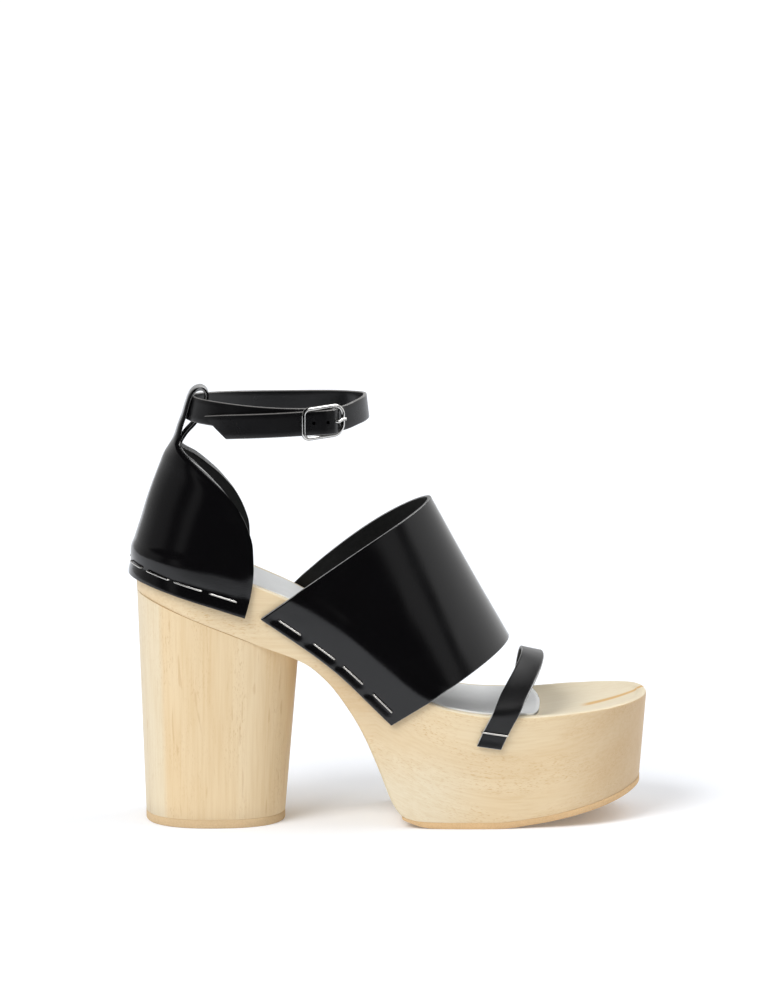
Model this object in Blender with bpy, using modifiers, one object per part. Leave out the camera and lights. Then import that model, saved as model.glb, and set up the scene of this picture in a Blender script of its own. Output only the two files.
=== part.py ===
"""Block heel platform sandal, right shoe: carved wooden sole, block heel, stapled leather, ankle strap.

X runs from heel to toe, Y from the outer (lateral) side to the inner (medial) side, Z up from the floor.
The tables are in millimetres, with "along" measured from the back of the wooden sole.
"""
import math

import bpy
import bmesh
from mathutils import Vector

for old in list(bpy.data.objects):
    bpy.data.objects.remove(old, do_unlink=True)

MM = 0.001
LATERAL, MEDIAL = -1, 1
GAP = 0.3

# Wooden sole
SOLE_LENGTH = 237.5
HEEL_ROUND = 33.0
TOE_ROUND = 49.0
END_SQUARENESS = 2.3
SOLE_STATIONS = 58
EDGE_SOFT = 0.8
RIM_WIDTH = 4.0
BED_SQUARENESS = 3.4

# Heel block and its top lift
HEEL_FRONT = 75.5
HEEL_FOOT_BACK = 4.6
HEEL_FOOT_FRONT = 69.2
HEEL_FOOT_HALF_WIDTH = 31.5
HEEL_MIDDLE = 38.0
HEEL_SQUARENESS = 2.45
HEEL_STEPS = 48
TOP_LIFT = 4.0

# Outsole and insole
OUTSOLE = 3.0
OUTSOLE_LIP = 1.4
OUTSOLE_TAPER = 14.0
OUTSOLE_START = 121.5
INSOLE_THICK = 0.8
INSOLE_LIFT = 0.45
INSOLE_INSET = 6.0
INSOLE_END = 188.0
INSOLE_END_BULGE = 5.0
INSOLE_END_SKEW = 6.0

# Leather
COUNTER_THICK = 1.6
COUNTER_SEAT = 0.5
VAMP_THICK = 2.0
TOE_STRAP_THICK = 2.0
BAND_SEAT = 0.5
STRAP_WIDTH = 11.3
STRAP_THICK = 1.6
STRAP_SKIVED = 1.0
PUNCH_RADIUS = 1.0
PUNCH_DEPTH = 2.6

# Ankle loop, measured on the strap's middle face
LOOP_BACK = 26.5
LOOP_FRONT = 107.0
LOOP_HALF_WIDTH = 28.0
TIP_SLANT_TURN = 18.0
TIP_REACH = 32.0

# Buckle
BUCKLE_ALONG = 85.0
BUCKLE_LENGTH = 21.2
BUCKLE_HEIGHT = 15.7
BUCKLE_WIRE = 0.85
BUCKLE_CORNER = 3.0
BUCKLE_LIFT = 3.5
BUCKLE_MIDDLE = 188.6
BUCKLE_TILT = 0.064
BAR_ALONG = 88.7
BAR_LIFT = 1.8
BAR_RADIUS = 0.75
PRONG_RADIUS = 0.65
PRONG_START = 0.2
PRONG_NECK = 0.4
PRONG_BEND = 1.2
PRONG_BEND_TURN = 78.0
PRONG_BEND_STEPS = 4

# Staples
STAPLE_CROWN = 12.0
STAPLE_WIRE = 0.55
COUNTER_STAPLE_HEIGHT = 6.4
VAMP_STAPLE_HEIGHT = 4.5
TOE_STAPLE_HEIGHT = 7.0


class Table:
    """Rows of named columns, read anywhere along the first column on a smooth curve without overshoot."""

    def __init__(self, names, rows):
        self.names = names.split()
        self.rows = rows
        self.columns = dict(zip(self.names, zip(*rows)))

    def at(self, name, where):
        xs, ys = self.columns[self.names[0]], self.columns[name]
        where = min(max(where, xs[0]), xs[-1])
        span = [b - a for a, b in zip(xs, xs[1:])]
        rise = [(b - a) / d for a, b, d in zip(ys, ys[1:], span)]
        slope = [rise[0]]
        for before, after in zip(rise, rise[1:]):
            slope.append(2 * before * after / (before + after) if before * after > 0 else 0.0)
        slope.append(rise[-1])
        k = max(i for i in range(len(span)) if xs[i] <= where or i == 0)
        u = (where - xs[k]) / span[k]
        low = ys[k] * (1 + 2 * u) * (1 - u) ** 2 + slope[k] * span[k] * u * (1 - u) ** 2
        high = ys[k + 1] * u * u * (3 - 2 * u) + slope[k + 1] * span[k] * u * u * (u - 1)
        return low + high


# Plan of the wooden sole at its rim: middle line and half width before the round ends
PLAN = Table("along centre half_width", (
    (0.0, 0.0, 31.0),
    (35.0, 0.0, 33.5),
    (65.0, -0.5, 33.0),
    (95.0, -1.0, 33.5),
    (125.0, -0.5, 38.5),
    (148.0, 0.8, 42.6),
    (168.0, 1.8, 43.8),
    (190.0, 2.6, 42.6),
    (214.0, 3.2, 42.2),
    (237.5, 3.6, 42.0),
))

# Side of the wooden sole: lateral rim, underside, dish of the footbed, lean of the walls in degrees,
# rounding of the rim, fall of the rim across to the medial side
SIDE = Table("along rim under dish lean round fall", (
    (0.0, 126.0, 108.0, 0.5, 2.5, 1.5, 0.0),
    (15.0, 124.6, 102.0, 4.0, 2.5, 1.5, 0.0),
    (38.0, 119.8, 92.8, 5.0, 2.5, 1.5, 0.0),
    (57.0, 112.6, 85.2, 4.5, 2.5, 1.5, 0.3),
    (77.0, 103.6, 77.2, 3.5, 2.5, 1.5, 0.6),
    (87.5, 97.0, 68.6, 3.0, 2.5, 1.5, 0.8),
    (98.0, 89.4, 54.6, 3.0, 2.5, 1.5, 1.0),
    (104.5, 84.0, 43.2, 3.0, 2.5, 1.5, 1.0),
    (111.3, 78.0, 27.6, 3.0, 3.0, 1.5, 1.0),
    (118.3, 71.8, 10.4, 3.0, 3.5, 1.5, 1.0),
    (123.0, 67.6, 5.0, 3.0, 3.5, 1.5, 1.0),
    (131.0, 61.7, 3.3, 3.2, 3.5, 1.5, 0.9),
    (145.0, 56.2, 3.0, 3.6, 4.0, 1.5, 0.8),
    (165.0, 53.4, 3.0, 3.6, 4.0, 1.5, 0.8),
    (183.0, 53.0, 4.7, 3.4, 4.2, 1.4, 0.8),
    (205.0, 54.6, 9.0, 2.4, 4.5, 1.4, 0.8),
    (222.0, 56.1, 13.8, 1.4, 4.7, 1.4, 0.5),
    (237.5, 58.0, 20.0, 0.3, 4.7, 1.4, 0.0),
))

# Heel counter from its bottom edge to the tab end: inner face at the back and at the front edges,
# half width between the edges
COUNTER = Table("level back back_z edge edge_z half_width", (
    (0, -0.3, 115.3, 49.8, 98.9, 34.0),
    (1, -0.3, 120.8, 52.0, 106.8, 34.0),
    (2, 0.1, 126.4, 53.4, 114.2, 33.7),
    (3, 1.3, 131.0, 54.0, 121.0, 33.0),
    (4, 4.2, 140.0, 53.7, 131.0, 31.8),
    (5, 6.9, 149.0, 51.4, 139.6, 30.6),
    (6, 10.4, 158.8, 47.2, 147.8, 29.4),
    (7, 12.9, 165.2, 41.2, 154.9, 27.4),
    (8, 14.8, 170.0, 34.0, 161.4, 24.0),
    (9, 16.6, 173.0, 27.8, 166.4, 20.0),
    (10, 18.0, 175.2, 22.8, 170.2, 15.0),
    (11, 19.0, 177.0, 20.4, 173.8, 10.0),
    (12, 19.9, 179.2, 21.2, 178.2, 7.2),
    (13, 21.3, 183.6, 22.3, 183.4, 6.2),
    (14, 23.1, 188.2, 23.9, 188.2, 6.0),
    (15, 24.5, 192.9, 25.1, 192.9, 6.0),
    (16, 25.9, 197.0, 26.5, 197.0, 6.0),
    (17, 27.0, 198.9, 27.6, 198.9, 6.0),
    (18, 28.5, 200.0, 29.1, 200.0, 6.0),
    (19, 30.1, 200.3, 30.7, 200.3, 6.0),
    (20, 31.6, 199.5, 32.2, 199.5, 6.0),
    (21, 32.3, 197.6, 32.9, 197.6, 6.0),
    (22, 31.8, 194.6, 32.4, 194.6, 6.0),
    (23, 30.1, 190.6, 30.7, 190.6, 6.0),
    (24, 27.0, 186.0, 27.8, 185.9, 6.0),
    (25, 22.4, 181.0, 23.4, 180.8, 6.0),
    (26, 19.7, 176.6, 20.8, 176.3, 6.0),
    (27, 18.4, 173.6, 19.6, 173.2, 6.0),
    (28, 16.3, 169.6, 17.6, 169.2, 6.0),
))
COUNTER_COLUMNS = 8
COUNTER_ROUND = 1.9

# Bands over the foot from back edge to front edge: crest, near and far feet on the wooden sides, swell of
# each side between crest and foot, depth below the crest in which the arch reaches its full width
BAND_COLUMNS = "row crest crest_z near near_z near_swell far far_z far_swell depth"
VAMP = Table(BAND_COLUMNS, (
    (0.0, 135.2, 148.4, 56.9, 98.4, 1.2, 65.7, 94.8, 3.6, 94.0),
    (0.5, 153.6, 114.7, 88.7, 75.7, 0.9, 96.8, 72.2, 1.9, 71.0),
    (1.0, 171.8, 82.7, 117.3, 48.9, 0.6, 127.9, 49.5, 0.1, 51.0),
))
TOE_STRAP = Table(BAND_COLUMNS, (
    (0.0, 179.0, 76.6, 156.0, 39.8, 2.0, 175.4, 40.0, -1.0, 44.0),
    (1.0, 189.2, 74.0, 167.2, 38.0, 1.5, 187.2, 39.0, -1.0, 27.0),
))
BAND_CREST_Y = 2.5
BAND_HOLD = 6.0
BAND_CROWDING = 1.6

# Ankle strap by turning angle, from the skived end at the centre bar round the loop to the cut tip:
# lift off the inner turn, height of the middle, lean of the lower edge outwards, thickness
STRAP = Table("turn lift height lean thick", (
    (-8.0, 0.0, 188.7, 3.0, 1.6),
    (30.0, 0.0, 189.4, 4.0, 1.6),
    (85.0, 0.0, 191.6, 9.0, 1.6),
    (123.0, 0.0, 192.2, 13.5, 1.6),
    (165.0, 0.0, 190.8, 7.0, 1.6),
    (213.0, 0.0, 190.0, 4.0, 1.6),
    (270.0, 0.0, 191.4, 5.0, 1.6),
    (303.0, 0.0, 192.4, 6.5, 1.6),
    (330.0, 0.2, 191.2, 5.0, 1.6),
    (346.0, 0.5, 189.5, 3.0, 1.6),
    (350.0, 0.9, 189.2, 2.5, 1.6),
    (353.5, 2.4, 189.0, 2.0, 1.6),
    (357.0, 4.4, 188.8, 2.0, 1.6),
    (360.0, 5.3, 188.7, 2.0, 1.6),
    (365.0, 4.9, 188.5, 2.0, 1.6),
    (370.0, 3.6, 188.3, 1.0, 1.6),
    (374.0, 2.5, 188.15, 0.0, 1.6),
    (377.0, 2.05, 188.05, -1.0, 1.6),
    (382.0, 2.0, 187.9, -2.0, 1.6),
    (400.0, 2.0, 187.3, -5.0, 1.6),
    (428.0, 2.2, 186.1, -10.0, 1.6),
    (446.0, 2.3, 184.8, -13.0, 1.6),
))
STRAP_TURN_STEP = 8.0
BUCKLE_TURNS = (338.0, 386.0)
BUCKLE_TURN_STEP = 3.0
EYE_STEPS = 6
EYE_RETURN = 6.0
PUNCH_TURNS = (358.6, 364.0, 372.4)

# Staples on the vamp, by share of the foot line from back to front
VAMP_STAPLE_SHARES = (0.17, 0.415, 0.63, 0.865)
# Staples on the counter, by distance along its lower edge from the middle of the back
COUNTER_STAPLE_ARCS = (13.0, 29.0, 43.5, 59.5)


def soft_step(value):
    value = min(max(value, 0.0), 1.0)
    return value * value * (3 - 2 * value)


def end_round(along):
    """Share of the half width left by the round heel and toe."""
    share = 1.0
    for depth, reach in ((HEEL_ROUND, along), (TOE_ROUND, SOLE_LENGTH - along)):
        if reach < depth:
            share *= max(0.0, 1 - (1 - max(reach, 0.0) / depth) ** END_SQUARENESS) ** (1 / END_SQUARENESS)
    return share


def side_y(side, along):
    """Y of the rim's outline on one side."""
    return PLAN.at("centre", along) + side * PLAN.at("half_width", along) * end_round(along)


def along_at(t):
    return SOLE_LENGTH * (1 - math.cos(math.pi * t)) / 2


def t_at(along):
    return math.acos(1 - 2 * min(max(along / SOLE_LENGTH, 0.0), 1.0)) / math.pi


def rim_point(side, t):
    """Outline of the rim by t, 0 at the heel's back and 1 at the toe tip, running on past either end."""
    if t < 0 or t > 1:
        side, t = -side, (-t if t < 0 else 2 - t)
    return Vector((along_at(t), side_y(side, along_at(t))))


def outline(side, t, outset=0.0):
    """Rim outline moved outwards by an outset along its own normal."""
    run = rim_point(side, t + 0.004) - rim_point(side, t - 0.004)
    normal = side * Vector((-run.y, run.x)).normalized()
    return rim_point(side, t) + outset * normal


def rim_z(along, across=0.0):
    """Height of the rim, across from 0 on the lateral side to 1 on the medial side."""
    return SIDE.at("rim", along) - across * SIDE.at("fall", along)


def wall_inset(along, z):
    """How far the leaning wall stands inside the rim's outline at a height."""
    return max(rim_z(along) - z, 0.0) * math.tan(math.radians(SIDE.at("lean", along)))


def footbed(along, across, width):
    """Height of the dished footbed, across from 0 to 1 between the rim's inner edges."""
    bowl = 1 - abs(2 * across - 1) ** BED_SQUARENESS
    drop = across * SIDE.at("fall", along) + SIDE.at("dish", along) * bowl
    return SIDE.at("rim", along) - drop * soft_step(width / 30.0)


def add_object(name, mesh, material, collection):
    mesh.materials.append(material)
    obj = bpy.data.objects.new(name, mesh)
    collection.objects.link(obj)
    obj.parent = frame
    return obj


def mesh_from(name, points, faces):
    """Closed mesh in metres, doubles merged and faces turned outwards."""
    bm = bmesh.new()
    verts = [bm.verts.new(Vector(p) * MM) for p in points]
    for face in faces:
        bm.faces.new([verts[i] for i in face])
    bmesh.ops.remove_doubles(bm, verts=bm.verts, dist=1e-6)
    bmesh.ops.dissolve_degenerate(bm, edges=bm.edges, dist=1e-7)
    bmesh.ops.recalc_face_normals(bm, faces=bm.faces)
    mesh = bpy.data.meshes.new(name)
    bm.to_mesh(mesh)
    bm.free()
    return mesh


def loft(name, rings, capped=True):
    """Mesh through closed rings of equal count, with flat ends."""
    count = len(rings[0])
    points = [p for ring in rings for p in ring]
    faces = []
    for k in range(len(rings) - 1):
        for i in range(count):
            j = (i + 1) % count
            faces.append((k * count + i, k * count + j, (k + 1) * count + j, (k + 1) * count + i))
    if capped:
        faces.append(tuple(range(count)))
        faces.append(tuple(range((len(rings) - 1) * count, len(rings) * count)))
    return mesh_from(name, points, faces)


def shell(name, grid, thickness, material, collection, outwards=1.0):
    """Leather wall grown outwards from the inner face given as a grid of points."""
    rows, columns = len(grid), len(grid[0])
    points = [p for row in grid for p in row]
    faces = []
    for r in range(rows - 1):
        for c in range(columns - 1):
            k = r * columns + c
            faces.append((k, k + 1, k + columns + 1, k + columns))
    mesh = bpy.data.meshes.new(name)
    mesh.from_pydata([Vector(p) * MM for p in points], [], faces)
    obj = add_object(name, mesh, material, collection)
    wall = obj.modifiers.new("leather thickness", 'SOLIDIFY')
    wall.thickness = thickness * MM
    wall.offset = outwards
    wall.use_even_offset = False
    return obj


def make_material(name, colour, roughness, metallic=0.0):
    material = bpy.data.materials.new(name)
    material.use_nodes = True
    shader = material.node_tree.nodes["Principled BSDF"]
    shader.inputs["Base Color"].default_value = (*colour, 1.0)
    shader.inputs["Roughness"].default_value = roughness
    shader.inputs["Metallic"].default_value = metallic
    return material


sandal = bpy.data.collections.new("block_heel_sandal")
cutters = bpy.data.collections.new("cutters")
bpy.context.scene.collection.children.link(sandal)
bpy.context.scene.collection.children.link(cutters)
frame = bpy.data.objects.new("sandal_frame", None)
sandal.objects.link(frame)

wood = make_material("pale_wood", (0.82, 0.66, 0.42), 0.6)
heel_wood = make_material("pale_heel_wood", (0.80, 0.62, 0.38), 0.6)
outsole_rubber = make_material("tan_outsole_rubber", (0.66, 0.45, 0.24), 0.75)
lift_rubber = make_material("tan_lift_rubber", (0.66, 0.45, 0.24), 0.75)
sock = make_material("pale_grey_sock", (0.62, 0.64, 0.66), 0.8)
counter_leather = make_material("black_counter_leather", (0.012, 0.012, 0.014), 0.3)
vamp_leather = make_material("black_vamp_leather", (0.012, 0.012, 0.014), 0.3)
toe_leather = make_material("black_toe_leather", (0.012, 0.012, 0.014), 0.3)
strap_leather = make_material("black_strap_leather", (0.012, 0.012, 0.014), 0.3)
nickel = make_material("polished_nickel", (0.75, 0.74, 0.72), 0.15, 1.0)
prong_nickel = make_material("prong_nickel", (0.75, 0.74, 0.72), 0.15, 1.0)
staple_wire = make_material("staple_wire", (0.7, 0.69, 0.67), 0.25, 1.0)


def sole_ring(t):
    """Section of the wooden sole: up the lateral wall, over the footbed, down the medial wall, under."""
    walls = []
    for side in (LATERAL, MEDIAL):
        rim = rim_point(side, t)
        top, under = rim_z(rim.x, (side + 1) / 2), SIDE.at("under", rim.x)
        soft = SIDE.at("round", rim.x)
        wall = []
        for inset, z in ((EDGE_SOFT, under), (0.0, under + EDGE_SOFT), (0.0, (top + under) / 2),
                         (0.0, top - soft), (0.3 * soft, top - 0.3 * soft), (soft, top)):
            spot = outline(side, t, -inset - wall_inset(rim.x, z))
            z_here = SIDE.at("under", spot.x) if inset == EDGE_SOFT and z == under else z
            wall.append((spot.x, spot.y, z_here))
        walls.append(wall)
    inner_near, inner_far = (outline(side, t, -RIM_WIDTH) for side in (LATERAL, MEDIAL))
    bed = []
    for across in (0.0, 0.06, 0.16, 0.32, 0.5, 0.68, 0.84, 0.94, 1.0):
        spot = inner_near.lerp(inner_far, across)
        bed.append((spot.x, spot.y, footbed(spot.x, across, inner_far.y - inner_near.y)))
    under_side = []
    for across in (0.67, 0.33):
        near, far = Vector(walls[0][0]), Vector(walls[1][0])
        spot = near.lerp(far, across)
        under_side.append((spot.x, spot.y, SIDE.at("under", spot.x)))
    return walls[0] + bed + walls[1][::-1] + under_side


sole_rings = [sole_ring(k / SOLE_STATIONS) for k in range(SOLE_STATIONS + 1)]
sole_mesh = loft("platform_sole", sole_rings, capped=False)
add_object("platform_sole", sole_mesh, wood, sandal)


def heel_plan(share, grow=0.0):
    """Outline of the heel block: share 0 at its foot, 1 at the joint under the heel seat."""
    ring = []
    for k in range(HEEL_STEPS):
        turn = 2 * math.pi * k / HEEL_STEPS
        c, s = math.cos(turn), math.sin(turn)
        fore = math.copysign(abs(c) ** (2 / HEEL_SQUARENESS), c)
        wide = math.copysign(abs(s) ** (2 / HEEL_SQUARENESS), s)
        foot_half = (HEEL_FOOT_FRONT - HEEL_FOOT_BACK) / 2 + grow
        foot = Vector(((HEEL_FOOT_BACK + HEEL_FOOT_FRONT) / 2 + fore * foot_half,
                       wide * (HEEL_FOOT_HALF_WIDTH + grow)))
        reach = HEEL_FRONT - HEEL_MIDDLE if fore > 0 else HEEL_MIDDLE - 0.9
        head = Vector((HEEL_MIDDLE + fore * (reach + grow), wide * (side_y(MEDIAL, 35.0) - 1.0 + grow)))
        ring.append(foot.lerp(head, share))
    return ring


def heel_block_rings():
    """Rings up the heel block: softened foot, foot, joint and softened joint edge."""
    rings = []
    for share, grow, drop in ((0.0, -0.5, TOP_LIFT + GAP), (0.005, 0.0, TOP_LIFT + GAP + 0.5)):
        rings.append([(p.x, p.y, drop) for p in heel_plan(share, grow)])
    for grow, down in ((0.0, 0.9), (-0.6, GAP)):
        rings.append([(p.x, p.y, SIDE.at("under", p.x) - down) for p in heel_plan(1.0, grow)])
    return rings


add_object("heel_block", loft("heel_block", heel_block_rings()), heel_wood, sandal)

lift_rings = []
for lift_grow, lift_z in ((-0.6, 0.0), (0.0, 0.6), (0.0, TOP_LIFT - 0.3), (-0.3, TOP_LIFT)):
    lift_rings.append([(p.x, p.y, lift_z) for p in heel_plan(0.0, lift_grow)])
add_object("heel_top_lift", loft("heel_top_lift", lift_rings), lift_rubber, sandal)


def outsole_ring(t):
    """One cross-section of the forefoot outsole, hung under the platform and thinned at its back end."""
    low, high = [], []
    for side in (LATERAL, MEDIAL):
        rim = rim_point(side, t)
        under = SIDE.at("under", rim.x)
        edge = wall_inset(rim.x, under) + 0.2
        thick = OUTSOLE_LIP + (OUTSOLE - OUTSOLE_LIP) * soft_step((rim.x - OUTSOLE_START) / OUTSOLE_TAPER)
        for inset, drop, row in ((edge, GAP, high), (edge + 0.4, thick, low)):
            spot = outline(side, t, -inset)
            row.append(Vector((spot.x, spot.y, SIDE.at("under", spot.x) - drop)))
    ring = []
    for pair, order in ((high, (0.0, 0.33, 0.67, 1.0)), (low, (1.0, 0.67, 0.33, 0.0))):
        for across in order:
            ring.append(tuple(pair[0].lerp(pair[1], across)))
    return ring


outsole_start = t_at(OUTSOLE_START)
outsole_rings = [outsole_ring(outsole_start)]
for k in range(SOLE_STATIONS + 1):
    if k / SOLE_STATIONS > outsole_start + 0.004:
        outsole_rings.append(outsole_ring(k / SOLE_STATIONS))
add_object("forefoot_outsole", loft("forefoot_outsole", outsole_rings), outsole_rubber, sandal)


def insole_ring(t, share):
    """One cross-section of the sock on the footbed; share runs to 1 at its rounded front edge."""
    near, far = (outline(side, t, -INSOLE_INSET) for side in (LATERAL, MEDIAL))
    lower, upper = [], []
    for across in (0.0, 0.1, 0.25, 0.5, 0.75, 0.9, 1.0):
        spot = near.lerp(far, across)
        spot.x -= share * INSOLE_END_BULGE * abs(2 * across - 1) ** 3
        spot.x += share * INSOLE_END_SKEW * (across - 0.5)
        bed_near, bed_far = (outline(side, t, -RIM_WIDTH) for side in (LATERAL, MEDIAL))
        width = bed_far.y - bed_near.y
        z = footbed(spot.x, min(max((spot.y - bed_near.y) / max(width, 1.0), 0.0), 1.0), width)
        lower.append((spot.x, spot.y, z + INSOLE_LIFT))
        upper.append((spot.x, spot.y, z + INSOLE_LIFT + INSOLE_THICK))
    return lower + upper[::-1]


insole_end = t_at(INSOLE_END)
insole_rings = []
for step in range(31):
    insole_t = 0.03 + (insole_end - 0.03) * step / 30
    insole_rings.append(insole_ring(insole_t, soft_step((step - 20) / 10)))
add_object("insole", loft("insole", insole_rings), sock, sandal)


def counter_grid():
    """Inner face of the heel counter and its tab, the outline's U scaled and rounded level by level."""
    end_t = t_at(COUNTER.rows[0][3])
    columns = [(LATERAL, end_t * k / COUNTER_COLUMNS) for k in range(COUNTER_COLUMNS, 0, -1)]
    columns += [(MEDIAL, end_t * k / COUNTER_COLUMNS) for k in range(COUNTER_COLUMNS + 1)]
    half = (side_y(MEDIAL, along_at(end_t)) - side_y(LATERAL, along_at(end_t))) / 2
    grid = []
    for level in range(len(COUNTER.rows)):
        back, back_z, edge, edge_z, width = (COUNTER.at(n, level) for n in COUNTER.names[1:])
        row = []
        for side, t in columns:
            rim = rim_point(side, t)
            fore = rim.x / along_at(end_t)
            wide = (rim.y - PLAN.at("centre", rim.x)) / half
            rounded = side * (1 - (1 - min(fore, 1.0)) ** COUNTER_ROUND) ** (1 / COUNTER_ROUND)
            wide += soft_step((level - 2) / 5) * (rounded - wide)
            x, y = back + fore * (edge - back), wide * width + PLAN.at("centre", rim.x) * (level < 6)
            z = back_z + fore * (edge_z - back_z)
            hold = soft_step((rim_z(min(max(x, 0.0), 60.0)) + 5.0 - z) / 7.0) if level < 5 else 0.0
            stand = COUNTER_SEAT - 0.6 * wall_inset(max(x, 0.0), z)
            seat = outline(side, t_at(max(fore * edge, 0.0)), stand)
            row.append((x + hold * (seat.x - x), y + hold * (seat.y - y), z))
        grid.append(row)
    return grid


shell("heel_counter", counter_grid(), COUNTER_THICK, counter_leather, sandal, -1.0)


def band_point(table, row, side, share):
    """Inner face of a band over the foot: share 0 at the crest, 1 at the foot on that side's wall."""
    get = {name: table.at(name, row) for name in table.names}
    foot = "near" if side == LATERAL else "far"
    crest = Vector((get["crest"], get["crest_z"]))
    span = crest - Vector((get[foot], get[foot + "_z"]))
    up = Vector((-span.y, span.x)).normalized()
    spot = crest - span * share + up * 4 * get[foot + "_swell"] * share * (1 - share)
    along = min(max(spot.x, 1.0), SOLE_LENGTH - 1.0)
    wall = abs(side_y(side, along)) - wall_inset(along, spot.y) + BAND_SEAT
    unfilled = max(1 - share * span.length / get["depth"], 0.0)
    full = math.sqrt(1 - unfilled ** 2)
    full += (1 - full) * soft_step((rim_z(along, (side + 1) / 2) + BAND_HOLD - spot.y) / BAND_HOLD)
    return spot.x, BAND_CREST_Y * (1 - full) + side * wall * full, spot.y


def band_grid(table, rows, columns):
    """Points from the far foot over the crest to the near foot, closer together at the crest."""
    shares = [(c / columns) ** BAND_CROWDING for c in range(columns + 1)]
    grid = []
    for r in range(rows + 1):
        far_side = [band_point(table, r / rows, MEDIAL, share) for share in shares[:0:-1]]
        grid.append(far_side + [band_point(table, r / rows, LATERAL, share) for share in shares])
    return grid


shell("vamp_strap", band_grid(VAMP, 8, 17), VAMP_THICK, vamp_leather, sandal)
shell("toe_strap", band_grid(TOE_STRAP, 2, 16), TOE_STRAP_THICK, toe_leather, sandal)


def loop_point(turn):
    """Ankle loop's middle face in plan and its outward direction; turn 0 is at the centre bar."""
    middle, half = (LOOP_BACK + LOOP_FRONT) / 2, (LOOP_FRONT - LOOP_BACK) / 2
    start = -math.acos((BAR_ALONG - middle) / half)
    angle = start - math.radians(turn)
    spot = Vector((middle + half * math.cos(angle), LOOP_HALF_WIDTH * math.sin(angle)))
    out = Vector((math.cos(angle) / half, math.sin(angle) / LOOP_HALF_WIDTH)).normalized()
    return spot, out


def strap_profile(thick):
    """Softened rectangle across the strap, as pairs of distance off its middle face and height."""
    half, soft = STRAP_WIDTH / 2, 0.35
    return ((thick / 2, half - soft), (thick / 2 - soft, half), (soft - thick / 2, half),
            (-thick / 2, half - soft), (-thick / 2, soft - half), (soft - thick / 2, -half),
            (thick / 2 - soft, -half), (thick / 2, soft - half))


def strap_corner(centre, out, lean, off, high):
    """Point of the strap's profile, the lower edge leaning outwards."""
    tilt = math.radians(lean)
    up = Vector((-out.x * math.sin(tilt), -out.y * math.sin(tilt), math.cos(tilt)))
    face = Vector((out.x * math.cos(tilt), out.y * math.cos(tilt), math.sin(tilt)))
    return tuple(centre + face * off + up * high)


def eye_rings():
    """Skived end of the strap: back over the centre bar, then round it to the inner turn."""
    rings = []
    spot, out = loop_point(0.0)
    run = Vector((-out.y, out.x))
    height = STRAP.at("height", 0.0)
    for k in range(EYE_STEPS + 1):
        back = EYE_RETURN * (1 - k / EYE_STEPS)
        lift = 2 * BAR_LIFT - 2.0 * soft_step(back / EYE_RETURN)
        place = spot + out * lift - run * back
        profile = strap_profile(STRAP_SKIVED)
        rings.append([strap_corner(Vector((*place, height)), out, 0.0, *corner) for corner in profile])
    for k in range(1, EYE_STEPS * 2):
        turn = math.pi * k / (EYE_STEPS * 2)
        place = spot + out * (BAR_LIFT + BAR_LIFT * math.cos(turn)) + run * BAR_LIFT * math.sin(turn)
        face = (out * math.cos(turn) + run * math.sin(turn)).normalized()
        profile = strap_profile(STRAP_SKIVED + (STRAP_THICK - STRAP_SKIVED) * 0.5 * k / EYE_STEPS)
        rings.append([strap_corner(Vector((*place, height)), face, 0.0, *corner) for corner in profile])
    return [[ring[i] for i in (3, 2, 1, 0, 7, 6, 5, 4)] for ring in rings]


def strap_ring(turn, last):
    """Section of the strap at a turning angle, its lower edge drawn back near the cut tip."""
    slant = TIP_SLANT_TURN * soft_step((turn - last + TIP_REACH) / TIP_REACH)
    ring = []
    for off, high in strap_profile(STRAP.at("thick", turn)):
        here = turn - slant * (0.5 - high / STRAP_WIDTH)
        spot, out = loop_point(here)
        centre = Vector((*(spot + out * STRAP.at("lift", here)), STRAP.at("height", here)))
        ring.append(strap_corner(centre, out, STRAP.at("lean", here), off, high))
    return ring


def strap_turns(last):
    """Turning angles along the loop, closer together at the buckle."""
    turns = [0.0]
    while turns[-1] < last - 0.1:
        close = BUCKLE_TURNS[0] <= turns[-1] < BUCKLE_TURNS[1]
        turns.append(min(turns[-1] + (BUCKLE_TURN_STEP if close else STRAP_TURN_STEP), last))
    return turns


tip_turn = STRAP.rows[-1][0]
lap_rings = [strap_ring(turn, tip_turn) for turn in strap_turns(tip_turn)]
strap = add_object("ankle_strap", loft("ankle_strap", eye_rings() + lap_rings), strap_leather, sandal)


def rod(name, path, radius, sides=8, closed=False):
    """Round wire swept along a path of points."""
    rings = []
    count = len(path)
    normal = None
    for k, spot in enumerate(path):
        ahead = path[(k + 1) % count] if closed or k + 1 < count else spot
        behind = path[k - 1] if closed or k > 0 else spot
        run = (ahead - behind).normalized()
        if normal is None:
            normal = run.orthogonal().normalized()
        normal = (normal - run * normal.dot(run)).normalized()
        other = run.cross(normal)
        rings.append([tuple(spot + radius * (normal * math.cos(2 * math.pi * i / sides)
                                             + other * math.sin(2 * math.pi * i / sides)))
                      for i in range(sides)])
    if closed:
        rings.append(rings[0])
    return loft(name, rings, capped=not closed)


def buckle_place(fore, lift, high):
    """Point at the buckle: fore along the strap to the toe, lift outwards from the inner turn, high up."""
    middle, half = (LOOP_BACK + LOOP_FRONT) / 2, (LOOP_FRONT - LOOP_BACK) / 2
    turn = -math.acos((BUCKLE_ALONG - middle) / half)
    spot = Vector((middle + half * math.cos(turn), LOOP_HALF_WIDTH * math.sin(turn)))
    out = Vector((math.cos(turn) / half, math.sin(turn) / LOOP_HALF_WIDTH)).normalized()
    run = Vector((-out.y, out.x))
    place = spot + run * fore + out * lift
    return Vector((place.x, place.y, BUCKLE_MIDDLE + BUCKLE_TILT * fore + high))


def add_cutter(name, mesh):
    """Helper solid for a boolean, kept out of sight in its own collection."""
    obj = bpy.data.objects.new(name, mesh)
    cutters.objects.link(obj)
    obj.parent = frame
    obj.hide_render = True
    obj.display_type = 'WIRE'
    return obj


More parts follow.
